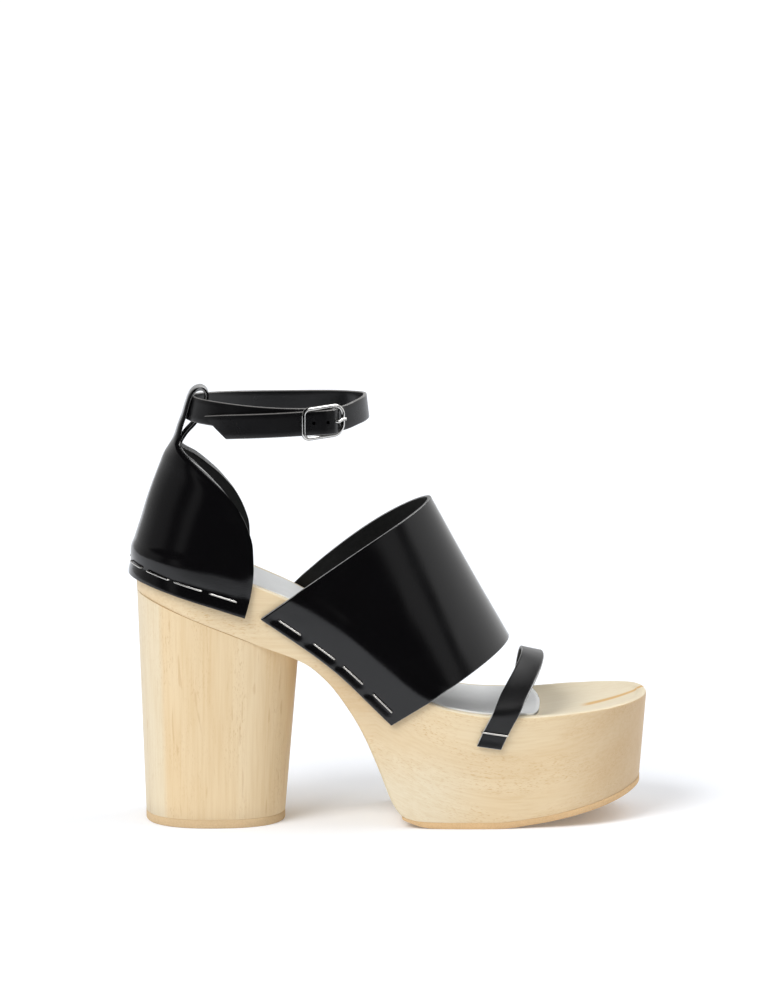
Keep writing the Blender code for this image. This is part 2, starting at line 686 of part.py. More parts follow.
def combine(obj, other, operation):
    step = obj.modifiers.new(other.name, 'BOOLEAN')
    step.operation = operation
    step.solver = 'EXACT'
    step.object = other


for number, punch_turn in enumerate(PUNCH_TURNS):
    punch_spot, punch_out = loop_point(punch_turn)
    punch_middle = punch_spot + punch_out * STRAP.at("lift", punch_turn)
    punch_ends = [punch_middle + punch_out * PUNCH_DEPTH * end for end in (-0.5, 0.5)]
    punch_path = [Vector((*end, STRAP.at("height", punch_turn))) for end in punch_ends]
    punch_name = f"punch_{number + 1}"
    combine(strap, add_cutter(punch_name, rod(punch_name, punch_path, PUNCH_RADIUS, 10)), 'DIFFERENCE')

# Rounded rectangle of wire, with the centre bar dropped behind it for the strap's eye
buckle_path = []
for corner_fore, corner_high, start in ((1, 1, 0), (-1, 1, 1), (-1, -1, 2), (1, -1, 3)):
    for k in range(5):
        corner_turn = math.pi / 2 * (start + k / 4)
        wide = BUCKLE_LENGTH / 2 - BUCKLE_WIRE - BUCKLE_CORNER
        tall = BUCKLE_HEIGHT / 2 - BUCKLE_WIRE - BUCKLE_CORNER
        frame_fore = corner_fore * wide + BUCKLE_CORNER * math.cos(corner_turn)
        frame_high = corner_high * tall + BUCKLE_CORNER * math.sin(corner_turn)
        buckle_path.append(buckle_place(frame_fore, BUCKLE_LIFT, frame_high))
buckle = add_object("buckle_frame", rod("buckle_frame", buckle_path, BUCKLE_WIRE, 8, True), nickel, sandal)

bar_fore = (BAR_ALONG - BUCKLE_ALONG) * 1.05
bar_top = BUCKLE_HEIGHT / 2 - BUCKLE_WIRE
bar_path = []
for bar_lift, bar_high in ((BUCKLE_LIFT, -bar_top), (BAR_LIFT, 1.0 - bar_top), (BAR_LIFT, bar_top - 1.0),
                           (BUCKLE_LIFT, bar_top)):
    bar_path.append(buckle_place(bar_fore, bar_lift, bar_high))
combine(buckle, add_cutter("centre_bar", rod("centre_bar", bar_path, BAR_RADIUS, 8)), 'UNION')

# Prong from its hole in the strap, round a short bend, to its rest on the front bar of the frame
hole_spot, hole_out = loop_point(PUNCH_TURNS[0])
hole_run = Vector((-hole_out.y, hole_out.x))
hole_lift = STRAP.at("lift", PUNCH_TURNS[0])
hole_height = STRAP.at("height", PUNCH_TURNS[0])
prong_path = [Vector((*(hole_spot + hole_out * (hole_lift + PRONG_START)), hole_height))]
for k in range(PRONG_BEND_STEPS):
    bend = math.radians(PRONG_BEND_TURN) * k / (PRONG_BEND_STEPS - 1)
    bend_lift = hole_lift + PRONG_START + PRONG_NECK + PRONG_BEND * math.sin(bend)
    bend_place = hole_spot + hole_out * bend_lift + hole_run * PRONG_BEND * (1 - math.cos(bend))
    prong_path.append(Vector((*bend_place, hole_height)))
rest_lift = BUCKLE_LIFT + BUCKLE_WIRE + PRONG_RADIUS + GAP
for prong_fore, prong_rise in ((-2.6, 0.6), (-BUCKLE_WIRE, 0.0), (0.0, 0.0)):
    prong_path.append(buckle_place(BUCKLE_LENGTH / 2 + prong_fore, rest_lift + prong_rise, 0.2))
add_object("buckle_prong", rod("buckle_prong", prong_path, PRONG_RADIUS, 8), prong_nickel, sandal)


def add_staple(name, path):
    add_object(name, rod(name, path, STAPLE_WIRE, 6), staple_wire, sandal)


def wall_point(side, along, z, outset):
    """Point standing off the wooden side at a height."""
    y = abs(side_y(side, along)) - wall_inset(along, z) + outset
    return Vector((along, side * y, z))


def outline_at_arc(side, arc):
    """Place on the rim's outline, as t, at a distance from the middle of the heel's back."""
    t, done = 0.0, 0.0
    while done < arc:
        done += (rim_point(side, t + 0.002) - rim_point(side, t)).length
        t += 0.002
    return t


for side, side_name in ((LATERAL, "lateral"), (MEDIAL, "medial")):
    for number, staple_arc in enumerate(COUNTER_STAPLE_ARCS):
        crown = []
        for step in (-0.5, -0.25, 0.0, 0.25, 0.5):
            staple_t = outline_at_arc(side, staple_arc + step * STAPLE_CROWN)
            level_share = along_at(staple_t) / COUNTER.rows[0][3]
            staple_z = COUNTER.rows[0][2] + level_share * (COUNTER.rows[0][4] - COUNTER.rows[0][2])
            staple_z += COUNTER_STAPLE_HEIGHT
            stand = COUNTER_SEAT + GAP + COUNTER_THICK + STAPLE_WIRE
            stand -= 0.6 * wall_inset(along_at(staple_t), staple_z)
            crown.append(Vector((*outline(side, staple_t, stand), staple_z)))
        add_staple(f"staple_counter_{side_name}_{number + 1}", crown)
    foot = "near" if side == LATERAL else "far"
    for number, share in enumerate(VAMP_STAPLE_SHARES):
        ends = (share - 0.05, share + 0.05)
        back, fore = (Vector((VAMP.at(foot, r), VAMP.at(foot + "_z", r))) for r in ends)
        run = (fore - back).normalized()
        middle = (back + fore) / 2 + VAMP_STAPLE_HEIGHT * Vector((-run.y, run.x))
        crown = []
        for step in (-0.5, 0.0, 0.5):
            spot = middle + run * STAPLE_CROWN * step
            crown.append(wall_point(side, spot.x, spot.y, BAND_SEAT + GAP + VAMP_THICK + STAPLE_WIRE))
        add_staple(f"staple_vamp_{side_name}_{number + 1}", crown)
    back, fore = (Vector((TOE_STRAP.at(foot, r), TOE_STRAP.at(foot + "_z", r))) for r in (0, 1))
    run = (fore - back).normalized()
    middle = (back + fore) / 2 + TOE_STAPLE_HEIGHT * Vector((-run.y, run.x)) + 2.5 * run
    crown = []
    for step in (-0.5, 0.0, 0.5):
        spot = middle + run * step * ((fore - back).length + 2.0)
        crown.append(wall_point(side, spot.x, spot.y, BAND_SEAT + GAP + TOE_STRAP_THICK + STAPLE_WIRE))
    add_staple(f"staple_toe_{side_name}", crown)

# Stand the sandal on the floor with the middle of its box at the origin
corners = []
for obj in sandal.objects:
    if obj.type == 'MESH':
        shape = obj.evaluated_get(bpy.context.evaluated_depsgraph_get())
        corners += [Vector(corner) for corner in shape.bound_box]
low = [min(corner[i] for corner in corners) for i in range(3)]
high = [max(corner[i] for corner in corners) for i in range(3)]
frame.location = (-(low[0] + high[0]) / 2, -(low[1] + high[1]) / 2, -low[2])
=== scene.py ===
"""Looks of the block heel platform sandal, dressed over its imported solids.

Shapes are worked out in millimetres, with "along" measured from the back of the wooden sole to the toe,
Y from the outer (lateral) side to the inner (medial) side and Z up from the floor.
"""
import math

import bmesh
import bpy
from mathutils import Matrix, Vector


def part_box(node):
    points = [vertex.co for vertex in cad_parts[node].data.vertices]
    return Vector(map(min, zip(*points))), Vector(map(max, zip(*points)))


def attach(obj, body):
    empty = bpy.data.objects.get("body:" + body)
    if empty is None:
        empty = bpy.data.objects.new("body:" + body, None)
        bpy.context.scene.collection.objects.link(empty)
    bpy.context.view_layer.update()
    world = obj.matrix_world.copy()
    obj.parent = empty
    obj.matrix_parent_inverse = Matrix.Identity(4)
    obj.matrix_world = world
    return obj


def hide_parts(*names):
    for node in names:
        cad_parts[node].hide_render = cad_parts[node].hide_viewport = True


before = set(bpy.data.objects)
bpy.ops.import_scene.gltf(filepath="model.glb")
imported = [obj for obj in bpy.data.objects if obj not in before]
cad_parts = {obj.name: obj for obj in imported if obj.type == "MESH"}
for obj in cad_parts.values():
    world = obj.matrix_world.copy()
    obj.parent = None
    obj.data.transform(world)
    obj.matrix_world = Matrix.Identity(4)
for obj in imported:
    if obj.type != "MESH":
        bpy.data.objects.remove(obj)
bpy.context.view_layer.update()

# Platform sole
# One block of pale open-pored wood, carved to a dished footbed above and to an arch and a toe spring below.
# Its rim is rounded over, and a thin tan line of painted crease shade shows on the footbed at the toe.
# The footbed top and the platform's lower rear are paled by painted light, and the toe end is browned by
# painted shade.
MM = 0.001
LATERAL, MEDIAL = -1, 1
SOLE_LENGTH = 237.5
HEEL_ROUND = 33.0
TOE_ROUND = 49.0
END_SQUARENESS = 2.3
SOLE_STATIONS = 170
ARCH_EDGE = 0.8
JOINT_EDGE = 0.15
ARCH_START = 75.0
ARCH_END = 121.0
ARCH_FADE = 6.0
RIM_WIDTH = 4.0
OUTLINE_STEP = 0.004
BED_SQUARENESS = 3.4
BED_FULL_WIDTH = 30.0
BED_STEPS = 30
# Paler tone mixed into the wood: the heel block's paler back, with painted sheen on the footbed top and
# painted light on the platform's lit rear.
PALE_AND_LIT_WOOD = (0.77, 0.71, 0.56)
# Painted sheen: the footbed top and its rounded rim are paled, the way light from above and sheen at a low
# angle pale them.
BED_PAINTED_SHEEN = 0.7
BED_POINTS = range(12, 51)
# Painted light: the platform's lower rear, which faces the key light, is paled.
REAR_PAINTED_LIGHT = 0.6
REAR_PAINTED_LIGHT_ALONG = (170.0, 130.0)
REAR_PAINTED_LIGHT_HEIGHT = (45.0, 15.0)
# Brown of the heel's joint line and its painted shade, also mixed in as painted shade at the toe end and as
# a warmer tone at the instep.
JOINT_AND_SHADE_BROWN = (0.40, 0.22, 0.09)
BEND_START = 130.0
BEND_LEAD = 20.0
BEND_SLOPE = -0.42
BEND_CURVE = 4.6
# Painted shade: the toe end and the walls near it, which turn away from the key light, are browned and
# darkened.
TOE_PAINTED_SHADE = 0.45
TOE_PAINTED_SHADE_ALONG = (180.0, 237.0)
INSTEP_WARMTH = 0.2
INSTEP_WARM_BACK = (70.0, 90.0)
INSTEP_WARM_FRONT = (140.0, 115.0)
INSTEP_WARM_HEIGHT = (30.0, 60.0)
# Painted shade of a carved crease on the footbed at the toe: its tan, the arc it follows, where it runs and
# its width.
CREASE_SHADE_TAN = (0.66, 0.40, 0.13)
CREASE_SHADE_MIDDLE = (182.1, 69.7)
CREASE_SHADE_RADIUS = 81.6
CREASE_SHADE_START = 205.0
CREASE_SHADE_END = 236.0
CREASE_SHADE_WIDTH = 6.0
CREASE_SHADE_END_SHARE = 0.4
HEEL_FOOT_BACK = 4.6


class Table:
    """Rows of named columns, read anywhere along the first column on a smooth curve without overshoot."""

    def __init__(self, names, rows):
        self.names = names.split()
        self.rows = rows
        self.columns = dict(zip(self.names, zip(*rows)))

    def at(self, name, where):
        xs, ys = self.columns[self.names[0]], self.columns[name]
        where = min(max(where, xs[0]), xs[-1])
        span = [b - a for a, b in zip(xs, xs[1:])]
        rise = [(b - a) / d for a, b, d in zip(ys, ys[1:], span)]
        slope = [rise[0]]
        for before, after in zip(rise, rise[1:]):
            slope.append(2 * before * after / (before + after) if before * after > 0 else 0.0)
        slope.append(rise[-1])
        k = max(i for i in range(len(span)) if xs[i] <= where or i == 0)
        u = (where - xs[k]) / span[k]
        low = ys[k] * (1 + 2 * u) * (1 - u) ** 2 + slope[k] * span[k] * u * (1 - u) ** 2
        high = ys[k + 1] * u * u * (3 - 2 * u) + slope[k + 1] * span[k] * u * u * (u - 1)
        return low + high


# Plan of the sole at its rim: middle line and half width before the round ends
PLAN = Table("along centre half_width", (
    (0.0, 0.0, 31.0),
    (35.0, 0.0, 33.5),
    (65.0, -0.5, 33.0),
    (95.0, -1.0, 33.5),
    (125.0, -0.5, 38.5),
    (148.0, 0.8, 42.6),
    (168.0, 1.8, 43.8),
    (190.0, 2.6, 42.6),
    (214.0, 3.2, 42.2),
    (237.5, 3.6, 42.0),
))

# Side of the sole: lateral rim, underside, dish of the footbed, lean of the walls in degrees,
# rounding of the rim, fall of the rim across to the medial side
SIDE = Table("along rim under dish lean round fall", (
    (0.0, 126.0, 108.0, 0.5, 2.5, 1.5, 0.0),
    (15.0, 124.6, 102.0, 4.0, 2.5, 1.5, 0.0),
    (38.0, 119.8, 92.8, 5.0, 2.5, 1.5, 0.0),
    (57.0, 112.6, 85.2, 4.5, 2.5, 1.5, 0.3),
    (77.0, 103.6, 77.2, 3.5, 2.5, 1.5, 0.6),
    (87.5, 97.0, 68.6, 3.0, 2.5, 1.5, 0.8),
    (98.0, 89.4, 54.6, 3.0, 2.5, 1.5, 1.0),
    (104.5, 84.0, 43.2, 3.0, 2.5, 1.5, 1.0),
    (111.3, 78.0, 27.6, 3.0, 3.0, 1.5, 1.0),
    (118.3, 71.8, 10.4, 3.0, 3.5, 1.5, 1.0),
    (123.0, 67.6, 5.0, 3.0, 3.5, 1.5, 1.0),
    (131.0, 61.7, 3.3, 3.2, 3.5, 1.5, 0.9),
    (145.0, 56.2, 3.0, 3.6, 4.0, 1.5, 0.8),
    (165.0, 53.4, 3.0, 3.6, 4.0, 1.5, 0.8),
    (183.0, 53.0, 4.7, 3.4, 4.2, 1.4, 0.8),
    (205.0, 54.6, 9.0, 2.4, 4.5, 1.4, 0.8),
    (222.0, 56.1, 13.8, 1.4, 4.7, 1.4, 0.5),
    (237.5, 58.0, 20.0, 0.3, 4.7, 1.4, 0.0),
))

lift_low, lift_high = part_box("heel_top_lift")
heel_back = Vector((lift_low.x - HEEL_FOOT_BACK * MM, (lift_low.y + lift_high.y) / 2, 0.0))


def placed(point):
    """Point in millimetres from the heel's back, set down where the packed sandal stands."""
    return heel_back + Vector(point) * MM


def soft_step(value):
    value = min(max(value, 0.0), 1.0)
    return value * value * (3 - 2 * value)


def rising(value, start, full):
    """Share that goes smoothly from 0 at the start to 1 where it is full."""
    return soft_step((value - start) / (full - start))


def end_round(along):
    """Share of the half width left by the round heel and toe."""
    share = 1.0
    for depth, reach in ((HEEL_ROUND, along), (TOE_ROUND, SOLE_LENGTH - along)):
        if reach < depth:
            share *= max(0.0, 1 - (1 - max(reach, 0.0) / depth) ** END_SQUARENESS) ** (1 / END_SQUARENESS)
    return share


def side_y(side, along):
    """Y of the rim's outline on one side."""
    return PLAN.at("centre", along) + side * PLAN.at("half_width", along) * end_round(along)


def along_at(t):
    return SOLE_LENGTH * (1 - math.cos(math.pi * t)) / 2


def t_at(along):
    return math.acos(1 - 2 * min(max(along / SOLE_LENGTH, 0.0), 1.0)) / math.pi


def rim_point(side, t):
    """Outline of the rim by t, 0 at the heel's back and 1 at the toe tip, running on past either end."""
    if t < 0 or t > 1:
        side, t = -side, (-t if t < 0 else 2 - t)
    return Vector((along_at(t), side_y(side, along_at(t))))


def outline(side, t, outset=0.0):
    """Rim outline moved outwards by an outset along its own normal."""
    run = rim_point(side, t + OUTLINE_STEP) - rim_point(side, t - OUTLINE_STEP)
    normal = side * Vector((-run.y, run.x)).normalized()
    return rim_point(side, t) + outset * normal


def rim_z(along, across=0.0):
    """Height of the rim, across from 0 on the lateral side to 1 on the medial side."""
    return SIDE.at("rim", along) - across * SIDE.at("fall", along)


def wall_inset(along, z):
    """How far the leaning wall stands inside the rim's outline at a height."""
    return max(rim_z(along) - z, 0.0) * math.tan(math.radians(SIDE.at("lean", along)))


def footbed(along, across, width):
    """Height of the dished footbed, across from 0 to 1 between the rim's inner edges."""
    bowl = 1 - abs(2 * across - 1) ** BED_SQUARENESS
    drop = across * SIDE.at("fall", along) + SIDE.at("dish", along) * bowl
    return SIDE.at("rim", along) - drop * soft_step(width / BED_FULL_WIDTH)


def skin(name, rings, closed=True, capped=True, tints=None):
    """Smooth mesh through rows of points; tints are named values for each point, read by its finish."""
    bm = bmesh.new()
    layers = {tint: bm.verts.layers.float.new(tint) for tint in tints or {}}
    rows = []
    for k, ring in enumerate(rings):
        row = []
        for i, point in enumerate(ring):
            vert = bm.verts.new(placed(point))
            for tint, layer in layers.items():
                vert[layer] = tints[tint][k][i]
            row.append(vert)
        rows.append(row)
    count = len(rings[0])
    for low, high in zip(rows, rows[1:]):
        for i in range(count if closed else count - 1):
            j = (i + 1) % count
            bm.faces.new((low[i], low[j], high[j], high[i]))
    if closed and capped:
        bm.faces.new(rows[0])
        bm.faces.new(rows[-1])
    bmesh.ops.remove_doubles(bm, verts=bm.verts, dist=1e-6)
    bmesh.ops.dissolve_degenerate(bm, edges=bm.edges, dist=1e-7)
    bmesh.ops.recalc_face_normals(bm, faces=bm.faces)
    for face in bm.faces:
        face.smooth = True
    mesh = bpy.data.meshes.new(name)
    bm.to_mesh(mesh)
    bm.free()
    piece = bpy.data.objects.new(name, mesh)
    bpy.context.scene.collection.objects.link(piece)
    return piece


def under_edge(along):
    """Rounding of the lower edge: sanded flush at the heel and the outsole, softer under the arch."""
    open_arch = soft_step((along - ARCH_START) / ARCH_FADE) * soft_step((ARCH_END - along) / ARCH_FADE)
    return JOINT_EDGE + (ARCH_EDGE - JOINT_EDGE) * open_arch


def sole_ring(t):
    """Section of the sole, up the lateral wall, over the footbed, down the medial wall and under."""
    walls = []
    for side in (LATERAL, MEDIAL):
        rim = rim_point(side, t)
        top, under = rim_z(rim.x, (side + 1) / 2), SIDE.at("under", rim.x)
        soft = SIDE.at("round", rim.x)
        lower = under_edge(rim.x)
        steps = []
        for turn in (0, 30, 60, 90):
            angle = math.radians(turn)
            steps.append((lower * (1 - math.sin(angle)), under + lower * (1 - math.cos(angle))))
        for share in (0.15, 0.35, 0.55, 0.75, 0.9):
            steps.append((0.0, under + lower + share * (top - soft - under - lower)))
        for turn in (0, 15, 30, 45, 60, 75, 90):
            angle = math.radians(turn)
            steps.append((soft * (1 - math.cos(angle)), top - soft * (1 - math.sin(angle))))
        wall = []
        for inset, z in steps:
            spot = outline(side, t, -inset - wall_inset(rim.x, z))
            wall.append((spot.x, spot.y, SIDE.at("under", spot.x) if z == under else z))
        walls.append(wall)
    inner_near, inner_far = (outline(side, t, -RIM_WIDTH) for side in (LATERAL, MEDIAL))
    bed = []
    for k in range(BED_STEPS + 1):
        across = 0.5 - 0.5 * math.cos(math.pi * k / BED_STEPS)
        spot = inner_near.lerp(inner_far, across)
        bed.append((spot.x, spot.y, footbed(spot.x, across, inner_far.y - inner_near.y)))
    under_side = []
    near, far = Vector(walls[0][0]), Vector(walls[1][0])
    for across in (0.8, 0.6, 0.4, 0.2):
        spot = near.lerp(far, across)
        under_side.append((spot.x, spot.y, SIDE.at("under", spot.x)))
    return walls[0] + bed + walls[1][::-1] + under_side


def add_node(tree, kind, inputs=None, **settings):
    """Add a node, set its options, and set each input to a value or wire it to a socket."""
    node = tree.nodes.new(kind)
    for option, value in settings.items():
        setattr(node, option, value)
    for socket, value in (inputs or {}).items():
        if isinstance(value, bpy.types.NodeSocket):
            tree.links.new(value, node.inputs[socket])
        else:
            node.inputs[socket].default_value = value
    return node


def start_finish(name, **fixed):
    """New material with the fixed values set on its shader; returns the material, its tree and shader."""
    material = bpy.data.materials.new(name)
    material.use_nodes = True
    shader = material.node_tree.nodes["Principled BSDF"]
    for socket, value in fixed.items():
        shader.inputs[socket.replace("_", " ")].default_value = value
    return material, material.node_tree, shader


def ramp(tree, source, stops):
    """Colour ramp through stops of position and colour."""
    node = add_node(tree, "ShaderNodeValToRGB", {"Fac": source})
    marks = node.color_ramp.elements
    while len(marks) < len(stops):
        marks.new(0.5)
    for mark, (place, colour) in zip(marks, stops):
        mark.position = place
        mark.color = (*colour, 1.0)
    return node.outputs["Color"]


def grey(value):
    return (value, value, value)


def blend(tree, share, below, above, how='MIX'):
    """Mix of two colours by a share."""
    return add_node(tree, "ShaderNodeMixRGB", {"Fac": share, "Color1": below, "Color2": above},
                    blend_type=how).outputs["Color"]


def calc(tree, how, *values):
    """Result of one sum on values or sockets."""
    return add_node(tree, "ShaderNodeMath", dict(enumerate(values)), operation=how).outputs["Value"]


def product(tree, first, second):
    return calc(tree, 'MULTIPLY', first, second)


def fade(tree, value, empty, full):
    """Share that rises smoothly from 0 where the value is empty to 1 where it is full."""
    return add_node(tree, "ShaderNodeMapRange", {"Value": value, "From Min": empty, "From Max": full},
                    interpolation_type='SMOOTHSTEP').outputs["Result"]


def object_spot(tree):
    return add_node(tree, "ShaderNodeTexCoord").outputs["Object"]


def split(tree, vector):
    return add_node(tree, "ShaderNodeSeparateXYZ", {"Vector": vector}).outputs


def joined(tree, **parts):
    return add_node(tree, "ShaderNodeCombineXYZ", parts).outputs["Vector"]


def cloudy(tree, spot, scale, detail):
    """Soft noise of a given fineness and detail."""
    made = add_node(tree, "ShaderNodeTexNoise", {"Vector": spot, "Scale": scale, "Detail": detail})
    return made.outputs[0]


def attribute(tree, name):
    return add_node(tree, "ShaderNodeAttribute", attribute_name=name).outputs["Fac"]


def roughen(tree, shader, source, low, high, span=(0.0, 1.0)):
    """Roughness that goes from low to high as the source crosses its span."""
    rough = add_node(tree, "ShaderNodeMapRange", {"Value": source, "From Min": span[0], "From Max": span[1],
                                                  "To Min": low, "To Max": high})
    tree.links.new(rough.outputs["Result"], shader.inputs["Roughness"])


def emboss(tree, shader, *layers):
    """Relief in layers of height, strength and depth in metres; a layer with a negative depth is sunk."""
    over = {}
    for height, strength, depth in layers:
        relief = {"Height": height, "Strength": strength, "Distance": abs(depth), **over}
        bump = add_node(tree, "ShaderNodeBump", relief, invert=depth < 0)
        over = {"Normal": bump.outputs["Normal"]}
    tree.links.new(over["Normal"], shader.inputs["Normal"])


def wood_finish(name, pale, deep, fleck, grain, fleck_share, dash_share, bend=None, crease_shade_line=None):
    """Sanded open-pored wood: broad streaks, long fibres, patches of short flecks and a few darker dashes.

    Grain is the turn of the fibres about Y in degrees, from lying along X; the shares say how strongly
    flecks and dashes show. A bend is where along X curved fibres start, their slope there and how fast it
    changes. A crease shade line is the painted shade of a carved crease seen on top: the middle and radius
    of its arc, where it starts, where it ends and its width at the start.
    """
    material, tree, shader = start_finish(name, Specular_IOR_Level=0.4)
    fibres = object_spot(tree)
    parts = split(tree, fibres)
    if bend:
        start, slope, curve = bend
        run = calc(tree, 'MAXIMUM', calc(tree, 'SUBTRACT', parts["X"], start), -BEND_LEAD * MM)
        rise = product(tree, run, calc(tree, 'MULTIPLY_ADD', run, curve, slope))
        fibres = joined(tree, X=parts["X"], Y=parts["Y"], Z=calc(tree, 'SUBTRACT', parts["Z"], rise))
    noise = {}
    for kind, stretch, scale, detail in (("streak", 9.0, 75.0, 4.0), ("fibre", 30.0, 900.0, 3.0),
                                         ("fleck", 5.0, 2500.0, 1.0), ("patch", 3.0, 60.0, 2.0),
                                         ("dash", 9.0, 620.0, 0.0)):
        drawn = add_node(tree, "ShaderNodeMapping", {"Vector": fibres, "Scale": (stretch, 1.0, 1.0),
                                                     "Rotation": (0.0, math.radians(grain), 0.0)},
                         vector_type='TEXTURE')
        noise[kind] = cloudy(tree, drawn.outputs["Vector"], scale, detail)
    colour = ramp(tree, noise["streak"], ((0.3, pale), (0.7, deep)))
    # Paled where the point attribute says: paler wood at the heel's back, with painted sheen and painted
    # light on the sole.
    paler_and_painted_light = attribute(tree, "paler_and_painted_light")
    colour = blend(tree, paler_and_painted_light, colour, (*PALE_AND_LIT_WOOD, 1.0))
    fibre = ramp(tree, noise["fibre"], ((0.32, (0.95, 0.92, 0.87)), (0.6, grey(1.0))))
    colour = blend(tree, 1.0, colour, fibre, 'MULTIPLY')
    flecks = product(tree, fade(tree, noise["fleck"], 0.54, 0.7), fade(tree, noise["patch"], 0.42, 0.64))
    flecks = product(tree, flecks, fade(tree, paler_and_painted_light, 1.0, 0.0))
    colour = blend(tree, product(tree, flecks, fleck_share), colour, (*fleck, 1.0))
    dashes = fade(tree, noise["dash"], 0.72, 0.8)
    colour = blend(tree, product(tree, dashes, dash_share), colour, (*fleck, 1.0))
    # Browned at the heel's joint, a dark joint with painted shade, and painted shade at the toe end; warmer
    # at the instep.
    colour = blend(tree, attribute(tree, "brown_and_painted_shade"), colour, (*JOINT_AND_SHADE_BROWN, 1.0))
    # Painted shade: a thin tan line where the footbed's carved crease would shade it, on upward faces only.
    if crease_shade_line:
        middle, radius, start, end, width = crease_shade_line
        flat = joined(tree, X=parts["X"], Y=parts["Y"])
        reach = add_node(tree, "ShaderNodeVectorMath", {0: flat, 1: middle}, operation='DISTANCE')
        off = calc(tree, 'ABSOLUTE', calc(tree, 'SUBTRACT', reach.outputs["Value"], radius))
        wide = add_node(tree, "ShaderNodeMapRange", {
            "Value": parts["X"], "From Min": start, "From Max": end,
            "To Min": width, "To Max": CREASE_SHADE_END_SHARE * width}).outputs["Result"]
        line = fade(tree, calc(tree, 'DIVIDE', off, wide), 1.0, 0.2)
        line = product(tree, line, fade(tree, parts["X"], start, start + width))
        upward = split(tree, add_node(tree, "ShaderNodeNewGeometry").outputs["Normal"])["Z"]
        line = product(tree, line, fade(tree, upward, 0.5, 0.85))
        colour = blend(tree, line, colour, (*CREASE_SHADE_TAN, 1.0))
    tree.links.new(colour, shader.inputs["Base Color"])
    roughen(tree, shader, noise["fibre"], 0.42, 0.6)
    emboss(tree, shader, (flecks, 0.2, -0.0002), (noise["fibre"], 0.08, 0.0003))
    return material


sole_bend = (heel_back.x + BEND_START * MM, BEND_SLOPE, BEND_CURVE)
crease_shade_middle = heel_back + Vector((*CREASE_SHADE_MIDDLE, 0.0)) * MM
crease_shade_ends = [heel_back.x + end * MM for end in (CREASE_SHADE_START, CREASE_SHADE_END)]
crease_shade_line = (crease_shade_middle, CREASE_SHADE_RADIUS * MM, *crease_shade_ends, CREASE_SHADE_WIDTH * MM)
sole_rings = [sole_ring(k / SOLE_STATIONS) for k in range(SOLE_STATIONS + 1)]
# Per point: painted sheen on the footbed top, painted light on the platform's lower rear, painted shade on
# the toe end and a warmer upper wall at the instep.
sole_tints = {"paler_and_painted_light": [], "brown_and_painted_shade": []}
for ring in sole_rings:
    shares, warmth = [], []
    for k, (x, y, z) in enumerate(ring):
        rear = REAR_PAINTED_LIGHT * rising(z, *REAR_PAINTED_LIGHT_HEIGHT) * rising(x, *REAR_PAINTED_LIGHT_ALONG)
        instep = rising(x, *INSTEP_WARM_BACK) * rising(x, *INSTEP_WARM_FRONT)
        instep *= INSTEP_WARMTH * rising(z, *INSTEP_WARM_HEIGHT)
        warm = TOE_PAINTED_SHADE * rising(x, *TOE_PAINTED_SHADE_ALONG) + instep
        shares.append(BED_PAINTED_SHEEN if k in BED_POINTS else rear)
        warmth.append(0.0 if k in BED_POINTS else warm)
    sole_tints["paler_and_painted_light"].append(shares)
    sole_tints["brown_and_painted_shade"].append(warmth)
sole = skin("carved_platform_sole", sole_rings, capped=False, tints=sole_tints)
sole.data.materials.append(wood_finish("pale_platform_wood", (0.79, 0.65, 0.435), (0.745, 0.58, 0.36),
                                       (0.56, 0.33, 0.12), 0.0, 0.5, 0.0, sole_bend, crease_shade_line))
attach(sole, "root")
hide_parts("platform_sole")

# Heel block
# A tall tapering block of warmer wood with upright grain, glued under the heel seat of the sole.
# A thin brown line is painted where the two meet, fading towards the back: a dark joint, with painted shade
# where the sole overhangs it at the front.
HEEL_FRONT = 75.5
HEEL_FOOT_FRONT = 69.2
HEEL_FOOT_HALF_WIDTH = 31.5
HEEL_MIDDLE = 38.0
HEEL_WIDEST = 35.0
HEEL_BACK_INSET = 0.9
HEEL_SIDE_INSET = 1.0
HEEL_SQUARENESS = 2.45
HEEL_STEPS = 144
HEEL_LEVELS = 12
TOP_LIFT = 4.0
CAP_INSET = 3.0
# Paler tone round the back of the heel block.
PALE_BACK_TURN = 0.63
PALE_BACK_FADE = 0.09
HEEL_PALE_BACK = 0.5
# The brown joint line is strongest at the front, as painted shade under the sole's overhang, and fades
# towards the back.
JOINT_SHADE_START = -6.0
JOINT_SHADE_REACH = 45.0


def heel_plan(share, grow=0.0):
    """Outline of the heel block: share 0 at its foot, 1 at the joint under the heel seat."""
    ring = []
    for k in range(HEEL_STEPS):
        turn = 2 * math.pi * k / HEEL_STEPS
        c, s = math.cos(turn), math.sin(turn)
        fore = math.copysign(abs(c) ** (2 / HEEL_SQUARENESS), c)
        wide = math.copysign(abs(s) ** (2 / HEEL_SQUARENESS), s)
        foot_half = (HEEL_FOOT_FRONT - HEEL_FOOT_BACK) / 2 + grow
        foot = Vector(((HEEL_FOOT_BACK + HEEL_FOOT_FRONT) / 2 + fore * foot_half,
                       wide * (HEEL_FOOT_HALF_WIDTH + grow)))
        reach = HEEL_FRONT - HEEL_MIDDLE if fore > 0 else HEEL_MIDDLE - HEEL_BACK_INSET
        head_half = side_y(MEDIAL, HEEL_WIDEST) - HEEL_SIDE_INSET
        head = Vector((HEEL_MIDDLE + fore * (reach + grow), wide * (head_half + grow)))
        ring.append(foot.lerp(head, share))
    return ring


def heel_ring(share, grow, height):
    """One ring of the heel block, each point's height given by its place at the joint."""
    return [(p.x, p.y, height(head)) for p, head in zip(heel_plan(share, grow), heel_plan(1.0, grow))]


